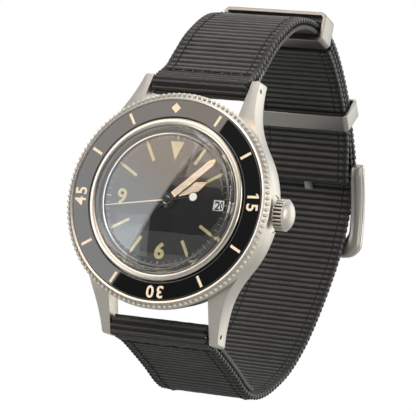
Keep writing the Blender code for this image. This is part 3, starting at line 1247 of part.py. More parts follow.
build_case()
build_back()
build_bezel()
build_crystal()
build_dial()
build_hands()
build_plates()
build_bridges()
build_rotor()
build_train()
build_escapement()
build_motion_work()
build_crown()
build_spring_bar("spring_bar_upper", BAR_Y)
build_spring_bar("spring_bar_lower", -BAR_Y)
build_strap()
build_buckle()
build_keepers()
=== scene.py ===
"""The looks of a dive watch on a ribbed webbing strap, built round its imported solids.

Sizes in a section are millimetres in the dial's own frame, with x to 3 o'clock, y to 12 o'clock
and z out through the dial. TO_ROW turns a mesh from there into the row's metres.
"""

import math

import bmesh
import bpy
from mathutils import Matrix, Vector


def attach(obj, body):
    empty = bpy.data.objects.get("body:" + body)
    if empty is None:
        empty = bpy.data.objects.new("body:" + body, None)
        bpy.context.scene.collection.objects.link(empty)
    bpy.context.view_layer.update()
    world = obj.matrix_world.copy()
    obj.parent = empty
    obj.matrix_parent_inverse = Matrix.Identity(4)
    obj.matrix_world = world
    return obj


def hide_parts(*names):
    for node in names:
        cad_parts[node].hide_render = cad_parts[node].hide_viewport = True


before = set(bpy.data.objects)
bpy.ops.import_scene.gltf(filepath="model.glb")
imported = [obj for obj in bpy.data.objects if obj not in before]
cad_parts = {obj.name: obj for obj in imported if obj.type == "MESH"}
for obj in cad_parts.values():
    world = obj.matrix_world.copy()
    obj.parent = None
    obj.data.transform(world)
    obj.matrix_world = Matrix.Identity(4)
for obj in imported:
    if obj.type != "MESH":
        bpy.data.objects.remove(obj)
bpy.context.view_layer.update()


# Camera and studio. The camera stands a little to the crown's side and below the dial's middle,
# with a long lens. A floor lies under the watch, and soft boxes and a dim sky light it.

scene = bpy.context.scene
scene.view_settings.view_transform = "Standard"


def placed(name, data):
    """A new object of the data, in the scene."""
    made = bpy.data.objects.new(name, data)
    scene.collection.objects.link(made)
    return made


camera_data = bpy.data.cameras.new("camera")
camera_data.lens = 216.3
camera_data.sensor_width = 36.0
camera_data.clip_start = 0.01
camera_data.clip_end = 20.0
camera = placed("camera", camera_data)
camera_right = Vector((0.9116, 0.3781, 0.1611)).normalized()
camera_up = Vector((-0.0897, -0.1994, 0.9758)).normalized()
camera_back = camera_right.cross(camera_up).normalized()
camera_axes = Matrix((camera_right, camera_up, camera_back)).transposed().to_4x4()
camera.matrix_world = Matrix.Translation((0.1896, -0.4189, -0.06755)) @ camera_axes
scene.camera = camera


class Shade:
    """A node's output that takes Python's arithmetic, each step adding its Math node. Without an
    output it only starts a tree."""

    def __init__(self, tree, socket=None):
        self.tree = tree
        self.socket = socket

    def node(self, kind, inputs=None, output=0, **settings):
        """A new node in the same tree, as a Shade of one of its outputs."""
        made = self.tree.nodes.new(kind)
        for name, value in settings.items():
            setattr(made, name, value)
        for name, value in (inputs or {}).items():
            if isinstance(value, Shade):
                self.tree.links.new(value.socket, made.inputs[name])
            else:
                made.inputs[name].default_value = value
        return Shade(self.tree, made.outputs[output])

    def maths(self, operation, *values):
        return self.node("ShaderNodeMath", dict(enumerate(values)), operation=operation)

    def __add__(self, other):
        return self.maths("ADD", self, other)

    def __radd__(self, other):
        return self.maths("ADD", other, self)

    def __sub__(self, other):
        return self.maths("SUBTRACT", self, other)

    def __rsub__(self, other):
        return self.maths("SUBTRACT", other, self)

    def __mul__(self, other):
        return self.maths("MULTIPLY", self, other)

    def __rmul__(self, other):
        return self.maths("MULTIPLY", other, self)

    def __truediv__(self, other):
        return self.maths("DIVIDE", self, other)

    def __rtruediv__(self, other):
        return self.maths("DIVIDE", other, self)

    def part(self, name):
        """One of x, y and z of a vector."""
        return self.node("ShaderNodeSeparateXYZ", {0: self}, "XYZ".index(name))

    def vector(self, x=0.0, y=0.0, z=0.0):
        """A vector of three values. The Shade itself only says in which tree."""
        return self.node("ShaderNodeCombineXYZ", {0: x, 1: y, 2: z})

    def scaled(self, x, y, z):
        return self.node("ShaderNodeVectorMath", {0: self, 1: (x, y, z)}, operation="MULTIPLY")

    def noise(self, scale, detail=2.0, roughness=0.5):
        return self.node("ShaderNodeTexNoise", {"Vector": self, "Scale": scale,
                                                "Detail": detail, "Roughness": roughness})

    def between(self, low, high, out_low=0.0, out_high=1.0):
        """Runs smoothly from out_low to out_high as the value goes from low to high."""
        return self.node("ShaderNodeMapRange", {"Value": self, "From Min": low, "From Max": high,
                                                "To Min": out_low, "To Max": out_high},
                         interpolation_type="SMOOTHSTEP")

    def mix(self, one, two):
        """Colour one where this value is 0, and two where it is 1."""
        colours = {6: (*one, 1.0), 7: (*two, 1.0)}
        return self.node("ShaderNodeMix", {0: self, **colours}, 2, data_type="RGBA")

    def bump(self, strength, distance):
        return self.node("ShaderNodeBump", {"Height": self, "Strength": strength,
                                            "Distance": distance})


def material(name, **values):
    """A Principled material. Returns it, its shader, and a Shade of the spot in metres. A value
    also given as a Shade stays for viewers without nodes."""
    made = bpy.data.materials.new(name)
    made.use_nodes = True
    tree = made.node_tree
    shader = tree.nodes["Principled BSDF"]
    for socket, value in values.items():
        target = shader.inputs[socket.replace("_", " ")]
        target.default_value = (*value, 1.0) if isinstance(value, tuple) else value
    return made, shader, Shade(tree).node("ShaderNodeTexCoord", output="Object")


def feed(shader, **shades):
    for socket, shade in shades.items():
        shade.tree.links.new(shade.socket, shader.inputs[socket.replace("_", " ")])


def switch(factor, one, two, output):
    """Shows shader one where the factor is 0, and two where it is 1."""
    mixed = factor.node("ShaderNodeMixShader", {0: factor, 1: one, 2: two})
    factor.tree.links.new(mixed.socket, output.inputs["Surface"])


WHITE = {"Color": (1.0, 1.0, 1.0, 1.0), "Strength": 1.0}
FLOOR = -0.105
FLOOR_REACH = 3.0

floor_white, shader, where = material("floor_white", Base_Color=(0.22, 0.217, 0.21), Roughness=0.9)
seen = (where.node("ShaderNodeLightPath", output="Is Camera Ray")
        + 0.5 * where.node("ShaderNodeLightPath", output="Is Glossy Ray"))
glow = where.node("ShaderNodeEmission", WHITE)
lit = Shade(where.tree, shader.outputs[0])
switch(seen, lit, glow, where.tree.nodes["Material Output"])

corners = ((-1, -1), (1, -1), (1, 1), (-1, 1))
floor_mesh = bpy.data.meshes.new("floor")
floor_mesh.from_pydata([(x * FLOOR_REACH, y * FLOOR_REACH, FLOOR) for x, y in corners], [],
                       [(0, 1, 2, 3)])
floor_mesh.materials.append(floor_white)
placed("floor", floor_mesh)

world = bpy.data.worlds.new("studio")
scene.world = world
world.use_nodes = True
tree = world.node_tree
tree.nodes.clear()
direction = Shade(tree).node("ShaderNodeTexCoord", output="Generated")
above = direction.part("Z").between(-0.1, 0.9, 0.0, 0.55)
behind = direction.part("Y").between(-0.1, 0.7, 0.0, 0.6)
seen = direction.node("ShaderNodeLightPath", output="Is Camera Ray")
sky = direction.node("ShaderNodeBackground", {"Color": (0.96, 0.98, 1.0, 1.0),
                                              "Strength": above + behind + 0.03})
backdrop = direction.node("ShaderNodeBackground", WHITE)
switch(seen, sky, backdrop, tree.nodes.new("ShaderNodeOutputWorld"))


def soft_box(name, place, aim, width, height, radiance, colour):
    """A soft area lamp of an even brightness, turned by aim."""
    light = bpy.data.lights.new(name, "AREA")
    light.shape = "RECTANGLE"
    light.size = width
    light.size_y = height
    light.energy = radiance * math.pi * width * height
    light.color = colour
    lamp = placed(name, light)
    lamp.location = place
    lamp.rotation_euler = aim.to_euler()


def rotation(degrees, axis):
    return Matrix.Rotation(math.radians(degrees), 4, axis)


MIDDLE_OF_WATCH = Vector((0.0, 0.02, 0.0))
COOL, WARM = Vector((0.94, 0.97, 1.0)), Vector((1.0, 0.84, 0.70))
DAYLIGHT = (1.0, 0.97, 0.9)

# A row of cards stands square before the dial, to its left. The black insert mirrors it.
CARD_WIDTH = 0.35
card_middle = Vector((-0.3558, -0.45, 0.1556))
facing_dial = rotation(90, "X")
lean = rotation(28.5, "Y")
along_row = lean @ Vector((0, 0, 1))
card_ends = (-0.39, -0.04, -0.01, 0.01, 0.03, 0.05, 0.33)
for index, (start, end) in enumerate(zip(card_ends, card_ends[1:])):
    soft_box(f"card_{index}", card_middle + along_row * (start + end) / 2, lean @ facing_dial,
             CARD_WIDTH, end - start, 2.4, COOL.lerp(WARM, index / 5))
# Level cards hang behind the row. Only the domed crystal mirrors them, round the dark camera.
for name, left, right, low, high, radiance, colour in (
        ("side", -0.4, -0.24, -0.2, 0.025, 1.2, COOL),
        ("brow", -0.185, 0.2, 0.113, 0.142, 1.2, WARM),
        ("ceiling", -0.15, 0.2, 0.142, 0.4, 2.4, WARM)):
    soft_box("card_" + name, ((left + right) / 2, -0.47, (low + high) / 2), facing_dial,
             right - left, high - low, radiance, colour)
for name, place, width, height, radiance, colour in (
        ("fill_right", (0.65, -0.15, 0.1), 0.35, 0.5, 3.6, DAYLIGHT),
        ("overhead", (-0.05, -0.05, 0.8), 0.6, 0.4, 2.6, (1.0, 1.0, 1.0)),
        ("rim_behind", (0.45, 0.6, 0.15), 0.6, 0.6, 1.5, DAYLIGHT)):
    aim = (MIDDLE_OF_WATCH - Vector(place)).to_track_quat("-Z", "Y")
    soft_box(name, place, aim, width, height, radiance, colour)


# Case middle. One block of steel with four lugs, bead blasted, its edges left as thin polished
# lines. A rounded neck rises through the bezel and holds the crystal.

TO_ROW = rotation(90, "X") @ Matrix.Scale(0.001, 4)


def solid(name, mesh, finishes=(), recalculate=True):
    """A bmesh as an object in its own units. Most are then cut, joined and bevelled."""
    if recalculate:
        bmesh.ops.recalc_face_normals(mesh, faces=mesh.faces)
    data = bpy.data.meshes.new(name)
    mesh.to_mesh(data)
    mesh.free()
    for finish in finishes:
        data.materials.append(finish)
    return placed(name, data)


def piece(name, mesh, finish, body, smooth=30, replaces="",
          recalculate=True):
    """A finished object of a bmesh in millimetres. It rides on a body and may replace a node."""
    finishes = finish if isinstance(finish, tuple) else (finish,)
    made = solid(name, mesh, finishes, recalculate)
    made.data.transform(TO_ROW)
    if smooth:
        made.data.shade_smooth()
        made.data.set_sharp_from_angle(angle=math.radians(smooth))
    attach(made, body)
    if replaces:
        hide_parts(replaces)


def arc(centre, radius, start, end, steps):
    """Points round a centre from one angle to another, in degrees."""
    angles = [math.radians(start + (end - start) * step / steps) for step in range(steps + 1)]
    return [(centre[0] + radius * math.cos(a), centre[1] + radius * math.sin(a)) for a in angles]


def lathe(profile, segments=192, axis="z", at=(0, 0, 0)):
    """A closed (radius, height) profile turned about an axis."""
    mesh = bmesh.new()
    rings = []
    for step in range(segments):
        turn = math.tau * step / segments
        line = []
        for index, (radius, height) in enumerate(profile):
            if radius < 1e-6 and rings:
                line.append(rings[0][index])
            else:
                spot = (radius * math.cos(turn), radius * math.sin(turn), height)
                line.append(mesh.verts.new(spot))
        rings.append(line)
    for one, two in zip(rings, rings[1:] + rings[:1]):
        for index in range(len(profile)):
            after = (index + 1) % len(profile)
            corners = list(dict.fromkeys([one[index], two[index], two[after], one[after]]))
            if len(corners) > 2:
                mesh.faces.new(corners)
    if axis == "x":
        mesh.transform(rotation(90, "Y"))
    mesh.transform(Matrix.Translation(at))
    return mesh


def rod(radius, low, high, segments, at):
    """A round rod along x."""
    return lathe([(0, low), (radius, low), (radius, high), (0, high)], segments, "x", at)


def prism(outline, bottom, top):
    """A flat outline in x and y, raised from the bottom to the top."""
    mesh = bmesh.new()
    lower = [mesh.verts.new((x, y, bottom)) for x, y in outline]
    upper = [mesh.verts.new((x, y, top)) for x, y in outline]
    mesh.faces.new(lower)
    mesh.faces.new(upper)
    for index in range(len(outline)):
        after = (index + 1) % len(outline)
        mesh.faces.new((lower[index], lower[after], upper[after], upper[index]))
    return mesh


def evaluated(target):
    """A new mesh of the object with its modifiers applied."""
    graph = bpy.context.evaluated_depsgraph_get()
    graph.update()
    return bpy.data.meshes.new_from_object(target.evaluated_get(graph))


def baked(target):
    """Applies an object's modifiers to its mesh."""
    data, old = evaluated(target), target.data
    target.modifiers.clear()
    target.data = data
    bpy.data.meshes.remove(old)


def combined(target, mesh, operation):
    """Joins, cuts or crosses the object with a bmesh."""
    other = solid("tool", mesh)
    boolean = target.modifiers.new("boolean", "BOOLEAN")
    boolean.operation = operation
    boolean.object = other
    boolean.solver = "EXACT"
    baked(target)
    bpy.data.objects.remove(other)


def taken(target):
    """The object's mesh as a bmesh, with the object removed."""
    mesh = bmesh.new()
    mesh.from_mesh(target.data)
    bpy.data.objects.remove(target)
    return mesh


def steel(name, colour, roughness, grain=0.0, grain_size=3000.0, scratches=0.0):
    """Bare steel with a fine grain in its gloss. Its surface shows faint wiping marks, or else the
    grain."""
    made, shader, where = material(name, Base_Color=colour, Metallic=1.0)
    cloud = where.noise(180.0, 3.0).between(0.3, 0.7)
    speck = where.noise(grain_size, 2.0, 0.7)
    tone = 0.6 * cloud + 0.4 * speck
    feed(shader, Base_Color=tone.mix(tuple(0.93 * value for value in colour), colour),
         Roughness=roughness - 0.02 + 0.05 * cloud + 0.2 * grain * speck)
    if scratches:
        drawn = where.scaled(1.0, 14.0, 14.0).noise(700.0, 2.0)
        feed(shader, Normal=drawn.bump(scratches, 0.00001))
    elif grain:
        feed(shader, Normal=speck.bump(grain, 0.00002))
    return made


blasted_steel = steel("blasted_steel", (0.54, 0.515, 0.465), 0.36, 0.5, 9000.0)
polished_steel = steel("polished_steel", (0.66, 0.635, 0.59), 0.10)
satin_steel = steel("satin_steel", (0.56, 0.53, 0.48), 0.24, scratches=0.2)
brushed_steel = steel("brushed_steel", (0.56, 0.535, 0.485), 0.26, scratches=0.35)

CASE_RADIUS = 19.7
CASE_INNER_RADIUS = 18.2
LUG_HALF_GAP = 10.0
LUG_HALF_SPAN = 24.8
LUG_CORNER = 0.45
UPPER_BAR, LOWER_BAR = (23.0, 3.2), (-23.0, 3.2)
WAIST = (11.6, 27.0)
NECK_RADIUS = 15.15
STEM = (0, 0, 6.1)
EDGE_BEVEL = 0.3
SHARP = 0.9


def sharp_edges(mesh):
    """The edges where two faces meet at more than SHARP, in radians."""
    return [edge for edge in mesh.edges
            if len(edge.link_faces) == 2 and edge.calc_face_angle() > SHARP]


def bent_flat(half_flat, height, bend, slope, end):
    """A face's side line: flat, then bent, then sloping down to the end."""
    line = arc((half_flat, height - bend), bend, 90.0, 90.0 - slope, 16)
    y, z = line[-1]
    return line + [(end, z - (end - y) * math.tan(math.radians(slope)))]


def case_plan():
    """The round case from the front, with a concave flank running out to each lug's tip."""
    room = CASE_RADIUS ** 2 - WAIST[0] ** 2 - WAIST[1] ** 2
    flank = -room / (2 * (CASE_RADIUS - WAIST[0]))
    centre = (WAIST[0] + flank, WAIST[1])
    leave = math.degrees(math.atan2(centre[1], centre[0]))
    tip = 180.0 + math.degrees(math.asin((WAIST[1] - LUG_HALF_SPAN + LUG_CORNER) / flank))
    quarter = arc((0, 0), CASE_RADIUS, 0.0, leave, 24)
    quarter += arc(centre, flank, 180.0 + leave, tip, 24)[1:]
    corner = (quarter[-1][0] - LUG_CORNER, LUG_HALF_SPAN - LUG_CORNER)
    quarter += arc(corner, LUG_CORNER, 0.0, 90.0, 5)[1:]
    quarter.append((LUG_HALF_GAP, LUG_HALF_SPAN))
    inner = math.degrees(math.acos(LUG_HALF_GAP / CASE_INNER_RADIUS))
    quarter += arc((0, 0), CASE_INNER_RADIUS, inner, 90.0, 16)
    half = quarter + [(-x, y) for x, y in quarter[-2::-1]]
    return half + [(x, -y) for x, y in half[-2:0:-1]]


def across(outline, half_width):
    """An outline in y and z, drawn along x."""
    mesh = prism(outline, -half_width, half_width)
    mesh.transform(Matrix(((0, 0, 1, 0), (1, 0, 0, 0), (0, 1, 0, 0), (0, 0, 0, 1))))
    return mesh


case_top = bent_flat(13.5, 8.15, 10.0, 27.0, LUG_HALF_SPAN + 1)
case_bottom = bent_flat(12.5, 4.0, 14.0, 22.0, LUG_HALF_SPAN + 1)
side_view = [(-y, z) for y, z in reversed(case_top)] + case_top
side_view += list(reversed(case_bottom)) + [(-y, z) for y, z in case_bottom]
case_finishes = (blasted_steel, polished_steel)
case = solid("case", prism(case_plan(), -2.0, 10.2))
combined(case, across(side_view, CASE_RADIUS + 1), "INTERSECT")
rough_case = taken(case)
# Every sharp edge takes a polished bevel, apart from the upright ones.
rims = [edge for edge in sharp_edges(rough_case)
        if abs(edge.verts[0].co.z - edge.verts[1].co.z) < 0.8 * edge.calc_length() + 1e-6]
bmesh.ops.bevel(rough_case, geom=rims, offset=EDGE_BEVEL, segments=3, profile=0.5,
                affect="EDGES", material=1, clamp_overlap=True)
case = solid("case", rough_case, case_finishes)
core = [(0, 1.3), (15.95, 1.3), (15.95, 1.75), (16.45, 1.75), (16.45, 1.3), (17.2, 1.3),
        (17.35, 1.4), (19.0, 4.4), (19.0, 8.2), (0, 8.2)]
combined(case, lathe(core, 160), "UNION")
bore = [(0, 0.5), (15.6, 0.5), (15.6, 2.5), (14.8, 2.5), (14.8, 9.0), (0, 9.0)]
combined(case, lathe(bore, 160), "DIFFERENCE")
for hole in (rod(1.25, 13.0, 21.0, 32, STEM), rod(3.5, 19.25, 21.0, 96, STEM),
             rod(0.45, -20.0, 20.0, 24, (0, *UPPER_BAR)),
             rod(0.45, -20.0, 20.0, 24, (0, *LOWER_BAR))):
    combined(case, hole, "DIFFERENCE")
piece("case_middle", taken(case), case_finishes, "case", smooth=24, recalculate=False)

neck = [(NECK_RADIUS, 8.1), (NECK_RADIUS, 8.85), (14.95, 8.85), (14.95, 9.35), (NECK_RADIUS, 9.35)]
neck += arc((NECK_RADIUS - 0.45, 11.2), 0.45, 0.0, 84.0, 10)
neck += [(14.3, 11.69), (13.9, 11.6), (13.74, 11.52), (13.7, 11.4), (13.7, 11.3),
         (13.95, 11.3), (13.95, 10.1), (13.1, 10.1), (13.1, 9.3), (14.6, 9.3), (14.6, 8.1)]
piece("case_neck", lathe(neck), satin_steel, "case", replaces="case_body")

back = [(0, 0), (12.4, 0), (12.5, 0.08), (12.7, 0.08), (12.8, 0)]
back += arc((16.55, 0.35), 0.35, -90.0, 0.0, 5)
back += [(16.9, 1.15), (15.55, 1.15), (15.55, 2.3), (14.55, 2.3), (14.55, 1.0), (0, 1.0)]
cover = solid("cover", lathe(back, 160))
for number in range(6):
    notch = prism([(16.0, -1.3), (18.0, -1.3), (18.0, 1.3), (16.0, 1.3)], -1.0, 0.575)
    notch.transform(rotation(60 * number, "Z"))
    combined(cover, notch, "DIFFERENCE")
piece("back_cover", taken(cover), brushed_steel, "case", replaces="case_back", recalculate=False)


# Turning bezel. A blasted steel ring that snaps over the case's neck and turns there. A row of
# small cut beads gives the fingers a grip, above a plain band and below a thin polished lip.

rim = [(15.2, 8.35), (16.3, 8.35), (16.3, 8.9), (18.3, 8.9), (18.3, 8.35)]
rim += arc((19.72, 8.63), 0.28, -90.0, 0.0, 6) + [(20.0, 9.5), (20.06, 9.6), (20.12, 9.72)]
rim += [(20.12, 9.86), (19.98, 10.02), (19.32, 10.6)] + arc((19.12, 10.7), 0.15, -10.0, 90.0, 5)
rim += [(18.86, 10.85), (18.75, 10.78), (18.75, 9.9), (15.2, 9.9), (15.2, 9.31), (15.42, 9.31),
        (15.42, 8.88), (15.2, 8.88)]
piece("bezel_grip_ring", lathe(rim, 240), blasted_steel, "bezel", smooth=20, replaces="bezel_ring")
lip = arc((19.1, 10.74), 0.16, -40.0, 120.0, 8) + [(18.78, 10.84), (18.78, 10.5), (19.1, 10.5)]
piece("bezel_lip", lathe(lip, 240), satin_steel, "bezel")


def grown(name, build, finish, body, slot="blasted_steel", smooth=40, route=(), **sizes):
    """A piece from a Geometry Nodes tree. build gets each named size as a Shade of its input, and
    route as the line through the given points."""
    tree = bpy.data.node_groups.new(name, "GeometryNodeTree")
    tree.interface.new_socket("Route", in_out="INPUT", socket_type="NodeSocketGeometry")
    tree.interface.new_socket("Geometry", in_out="OUTPUT", socket_type="NodeSocketGeometry")
    identifiers = {}
    for size, value in sizes.items():
        kind = "NodeSocketInt" if isinstance(value, int) else "NodeSocketFloat"
        socket = tree.interface.new_socket(size, in_out="INPUT", socket_type=kind)
        identifiers[socket.identifier] = value
    entry = tree.nodes.new("NodeGroupInput")
    inputs = {size: Shade(tree, entry.outputs[size]) for size in sizes}
    if route:
        inputs["route"] = Shade(tree, entry.outputs["Route"])
    shape = build(**inputs)
    real = shape.node("GeometryNodeRealizeInstances", {"Geometry": shape})
    painted = real.node("GeometryNodeSetMaterial", {"Geometry": real, "Material": finish})
    tree.links.new(painted.socket, tree.nodes.new("NodeGroupOutput").inputs["Geometry"])
    line = bmesh.new()
    points = [line.verts.new(point) for point in route]
    for one, two in zip(points, points[1:]):
        line.edges.new((one, two))
    holder = solid(name + "_holder", line)
    modifier = holder.modifiers.new(name, "NODES")
    modifier.node_group = tree
    for identifier, value in identifiers.items():
        modifier[identifier] = value
    baked(holder)
    piece(name, taken(holder), finish, body, smooth)


def moved(shape, **inputs):
    return shape.node("GeometryNodeTransform", {"Geometry": shape, **inputs})


def ringed(shape, count, circle, **inputs):
    """Copies of a shape at even steps round the z axis."""
    places = count.node("GeometryNodeMeshCircle", {"Vertices": count, "Radius": circle})
    return places.node("GeometryNodeInstanceOnPoints",
                       {"Points": places, "Instance": shape, **inputs})


def bead_row(count, circle, height, bead):
    ball = count.node("GeometryNodeMeshIcoSphere", {"Radius": bead, "Subdivisions": 2})
    return moved(ringed(ball, count, circle), Translation=height.vector(z=height))


# The beads take a lighter copy of the blasted steel, as painted light on them.
lit_bead_steel = steel("lit_bead_steel", (0.72, 0.68, 0.62), 0.46, 0.6, 2600.0)
grown("bezel_beads", bead_row, lit_bead_steel, "bezel", smooth=80, count=120,
      circle=19.76, height=10.36, bead=0.36)


# Bezel insert. A flat black ring with a hard glossy face, pressed into the bezel. Its diamond,
# batons and minute numerals are filled with cream luminous paint, just proud of the face.

INSERT_FACE = 11.05
MARK_CIRCLE = 17.08
BEZEL_TURN = 3.0
CAPITAL_SHARE = 0.73


def gloss_black(name, colour, gloss, index):
    """A hard black face, a little cloudy in its gloss."""
    made, shader, where = material(name, Roughness=gloss, IOR=index)
    cloud = where.noise(90.0, 3.0).between(0.35, 0.65)
    feed(shader, Base_Color=cloud.mix(colour, tuple(1.5 * value for value in colour)),
         Roughness=gloss + 0.01 * cloud)
    return made


def paint(name, colour, shade, grain=0.35, glow=0.0):
    """Thick matt paint with a little uneven colour and a fine tooth, and any painted glow."""
    made, shader, where = material(name, Roughness=0.6)
    cloud = where.noise(900.0, 3.0).between(0.3, 0.7)
    feed(shader, Base_Color=cloud.mix(shade, colour),
         Normal=where.noise(16000.0, 2.0).bump(grain, 0.00002))
    # A glow is painted light: the paint shines though it is no lamp.
    if glow:
        shader.inputs["Emission Color"].default_value = (*colour, 1.0)
        shader.inputs["Emission Strength"].default_value = glow
    return made


insert_gloss = gloss_black("insert_gloss", (0.0006, 0.0006, 0.0006), 0.008, 1.85)
# The marks' glow is painted light.
insert_lume = paint("insert_lume", (0.95, 0.82, 0.63), (0.88, 0.73, 0.53), glow=0.22)

insert = [(15.3, 9.96)] + arc((15.5, INSERT_FACE - 0.2), 0.2, 180.0, 90.0, 5)
insert += [(15.53, INSERT_FACE), (18.45, INSERT_FACE)]
insert += arc((18.48, INSERT_FACE - 0.2), 0.2, 90.0, 0.0, 5) + [(18.68, 9.96)]
piece("insert_face", lathe(insert, 240), insert_gloss, "bezel",
      replaces="bezel_insert")


def clock(degrees):
    """The rotation that takes +y to an hour angle, counted clockwise from 12 o'clock."""
    return rotation(-degrees, "Z")


def gathered(meshes):
    """Several bmeshes as one."""
    whole = bmesh.new()
    for mesh in meshes:
        data = bpy.data.meshes.new("part")
        mesh.to_mesh(data)
        mesh.free()
        whole.from_mesh(data)
        bpy.data.meshes.remove(data)
    return whole


def block(width, low, high, bottom, top):
    half = width / 2
    return prism([(-half, low), (half, low), (half, high), (-half, high)], bottom, top)


def numeral(text, height, weight, bottom, top, spread=1.0):
    """A plain number, its middle at the origin, cut as a flat plate."""
    curve = bpy.data.curves.new("numeral", "FONT")
    curve.body = text
    curve.size = height / CAPITAL_SHARE
    curve.align_x = curve.align_y = "CENTER"
    curve.space_character = spread
    curve.offset = weight
    curve.extrude = (top - bottom) / 2
    curve.resolution_u = 4
    made = placed("numeral", curve)
    data = evaluated(made)
    mesh = bmesh.new()
    mesh.from_mesh(data)
    bmesh.ops.remove_doubles(mesh, verts=mesh.verts, dist=1e-5)
    bpy.data.objects.remove(made)
    bpy.data.meshes.remove(data)
    middle = Vector((0, 0, -(top + bottom) / 2))
    for axis in (0, 1):
        reach = [vert.co[axis] for vert in mesh.verts]
        middle[axis] = (min(reach) + max(reach)) / 2
    mesh.transform(Matrix.Translation(-middle))
    return mesh


mark_low, mark_high = INSERT_FACE - 0.12, INSERT_FACE + 0.03
marks = [prism([(0, MARK_CIRCLE - 0.95), (0.92, MARK_CIRCLE), (0, MARK_CIRCLE + 0.95),
                (-0.92, MARK_CIRCLE)], mark_low, mark_high)]
for minute in range(5, 60, 5):
    if minute % 15:
        mark = block(0.5, MARK_CIRCLE - 1.1, MARK_CIRCLE + 1.1, mark_low, mark_high)
    else:
        mark = numeral(str(minute), 2.25, 0.07, mark_low, mark_high, 1.25)
        if minute == 15:
            left = min(vert.co.x for vert in mark.verts)
            top = max(vert.co.y for vert in mark.verts)
            flag = prism([(left + 0.1, top), (left - 0.38, top - 0.34),
                          (left - 0.38, top - 0.66), (left + 0.1, top - 0.38)],
                         mark_low, mark_high)
            mark = gathered([mark, flag])
            mark.transform(Matrix.Translation((0.15, 0, 0)))
        mark.transform(Matrix.Translation((0, MARK_CIRCLE + 0.02, 0)))
    mark.transform(clock(6 * minute))
    marks.append(mark)
marks = gathered(marks)
marks.transform(clock(-BEZEL_TURN))
piece("insert_marks", marks, insert_lume, "bezel")


# Crystal. A tall dome of clear glass with a rounded shoulder, pressed into the neck on a thin
# moulded gasket. A black rehaut ring under it hides the edge of the dial.

clear_crystal, shader, where = material("clear_crystal", Base_Color=(0.98, 0.99, 1.0),
                                        Roughness=0.0, IOR=1.62, Transmission_Weight=1.0)
feed(shader, Roughness=where.noise(60.0, 2.0).between(0.5, 0.8, 0.0, 0.012))
shadow = where.node("ShaderNodeLightPath", output="Is Shadow Ray")
through = where.node("ShaderNodeBsdfTransparent", {"Color": (0.93, 0.95, 0.95, 1.0)})
glass = Shade(where.tree, shader.outputs[0])
switch(shadow, glass, through, where.tree.nodes["Material Output"])

CRYSTAL_TOP = 13.7
shoulder = arc((12.85, 12.3), 0.75, 0.0, 66.0, 12)
edge_radius, edge_z = shoulder[-1]
rise = CRYSTAL_TOP - edge_z
shares = [step / 24 for step in range(25)]
dome = [(edge_radius * share, CRYSTAL_TOP - rise * share ** 2) for share in shares[-2::-1]]
hollow = [(11.6 * share, 12.2 - (rise + 0.1) * share ** 2) for share in shares]
hollow += [(12.1, hollow[-1][1] - 0.16), (12.4, hollow[-1][1] - 0.55), (12.5, hollow[-1][1] - 1.1)]
crystal = [(12.5, 10.45), (13.6, 10.45)] + shoulder + dome + hollow
piece("crystal_dome", lathe(crystal, 192), clear_crystal, "case", smooth=50,
      replaces="crystal")

satin_black = paint("satin_black", (0.018, 0.018, 0.018), (0.012, 0.012, 0.012), 0.15)
gasket_white = paint("gasket_white", (0.20, 0.20, 0.19), (0.16, 0.16, 0.15), 0.1)
gasket = [(13.1, 10.12), (13.92, 10.12), (13.92, 11.27), (13.68, 11.27), (13.68, 10.38),
          (13.1, 10.38)]
piece("crystal_seal", lathe(gasket), gasket_white, "case",
      replaces="crystal_gasket")
rehaut = [(12.6, 9.22), (13.08, 9.22), (13.08, 10.26), (12.92, 10.26)]
piece("rehaut", lathe(rehaut), satin_black, "case", replaces="rehaut_ring")


# Dial. A thin disc in matt black with a window for the date. The hour marks are thick aged
# luminous paint, and a fine printed minute track runs round the edge.

DIAL_FACE = 9.2
HOUR_CIRCLE = 9.35
matt_dial, shader, where = material("matt_dial", Roughness=0.62, Specular_IOR_Level=0.25)
tooth = where.noise(5200.0, 3.0, 0.65)
feed(shader, Base_Color=tooth.mix((0.006, 0.006, 0.006), (0.014, 0.014, 0.0135)),
     Roughness=0.5 + 0.2 * tooth, Normal=tooth.bump(0.5, 0.00003))
# The hour marks' glow is painted light.
aged_lume = paint("aged_lume", (0.64, 0.55, 0.28), (0.52, 0.43, 0.20), 0.5, glow=0.06)
printed_track = paint("printed_track", (0.50, 0.45, 0.28), (0.40, 0.35, 0.20))


def dressed(node, finish):
    """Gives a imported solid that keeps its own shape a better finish."""
    slots = bpy.data.objects[node].data.materials
    slots.clear()
    slots.append(finish)


dressed("dial", matt_dial)
low, high = DIAL_FACE - 0.02, DIAL_FACE + 0.09
marks = [prism([(-1.35, 11.05), (1.35, 11.05), (0, 7.6)], low, high)]
for hour in (1, 2, 4, 5, 7, 8, 10, 11):
    mark = block(0.56, 8.2, 11.7, low, high)
    mark.transform(clock(30 * hour))
    marks.append(mark)
for hour, spot, weight in ((6, (0, -HOUR_CIRCLE, 0), 0.14), (9, (-HOUR_CIRCLE, 0, 0), 0.07)):
    mark = numeral(str(hour), 2.9, weight, low, high)
    mark.transform(Matrix.Translation(spot))
    marks.append(mark)
piece("dial_marks", gathered(marks), aged_lume, "case")


def ticks(count, circle, length, width, height):
    tick = count.node("GeometryNodeMeshCube", {"Size": count.vector(length, width, 0.05)})
    turn = (count.node("GeometryNodeInputIndex") / count) * math.tau
    row = ringed(tick, count, circle, Rotation=turn.vector(z=turn))
    return moved(row, Translation=height.vector(z=height))


grown("minute_ticks", ticks, printed_track, "case", "dial_black", smooth=0,
      count=60, circle=12.05, length=0.8, width=0.1, height=DIAL_FACE + 0.01)
grown("hour_ticks", ticks, printed_track, "case", "dial_black", smooth=0,
      count=12, circle=11.95, length=1.0, width=0.26, height=DIAL_FACE + 0.012)


# Date ring. A white painted disc under the dial, with plain black day numbers. One number at a
# time shows through the window.

DAYS = 31
DAY_SHOWN = 20
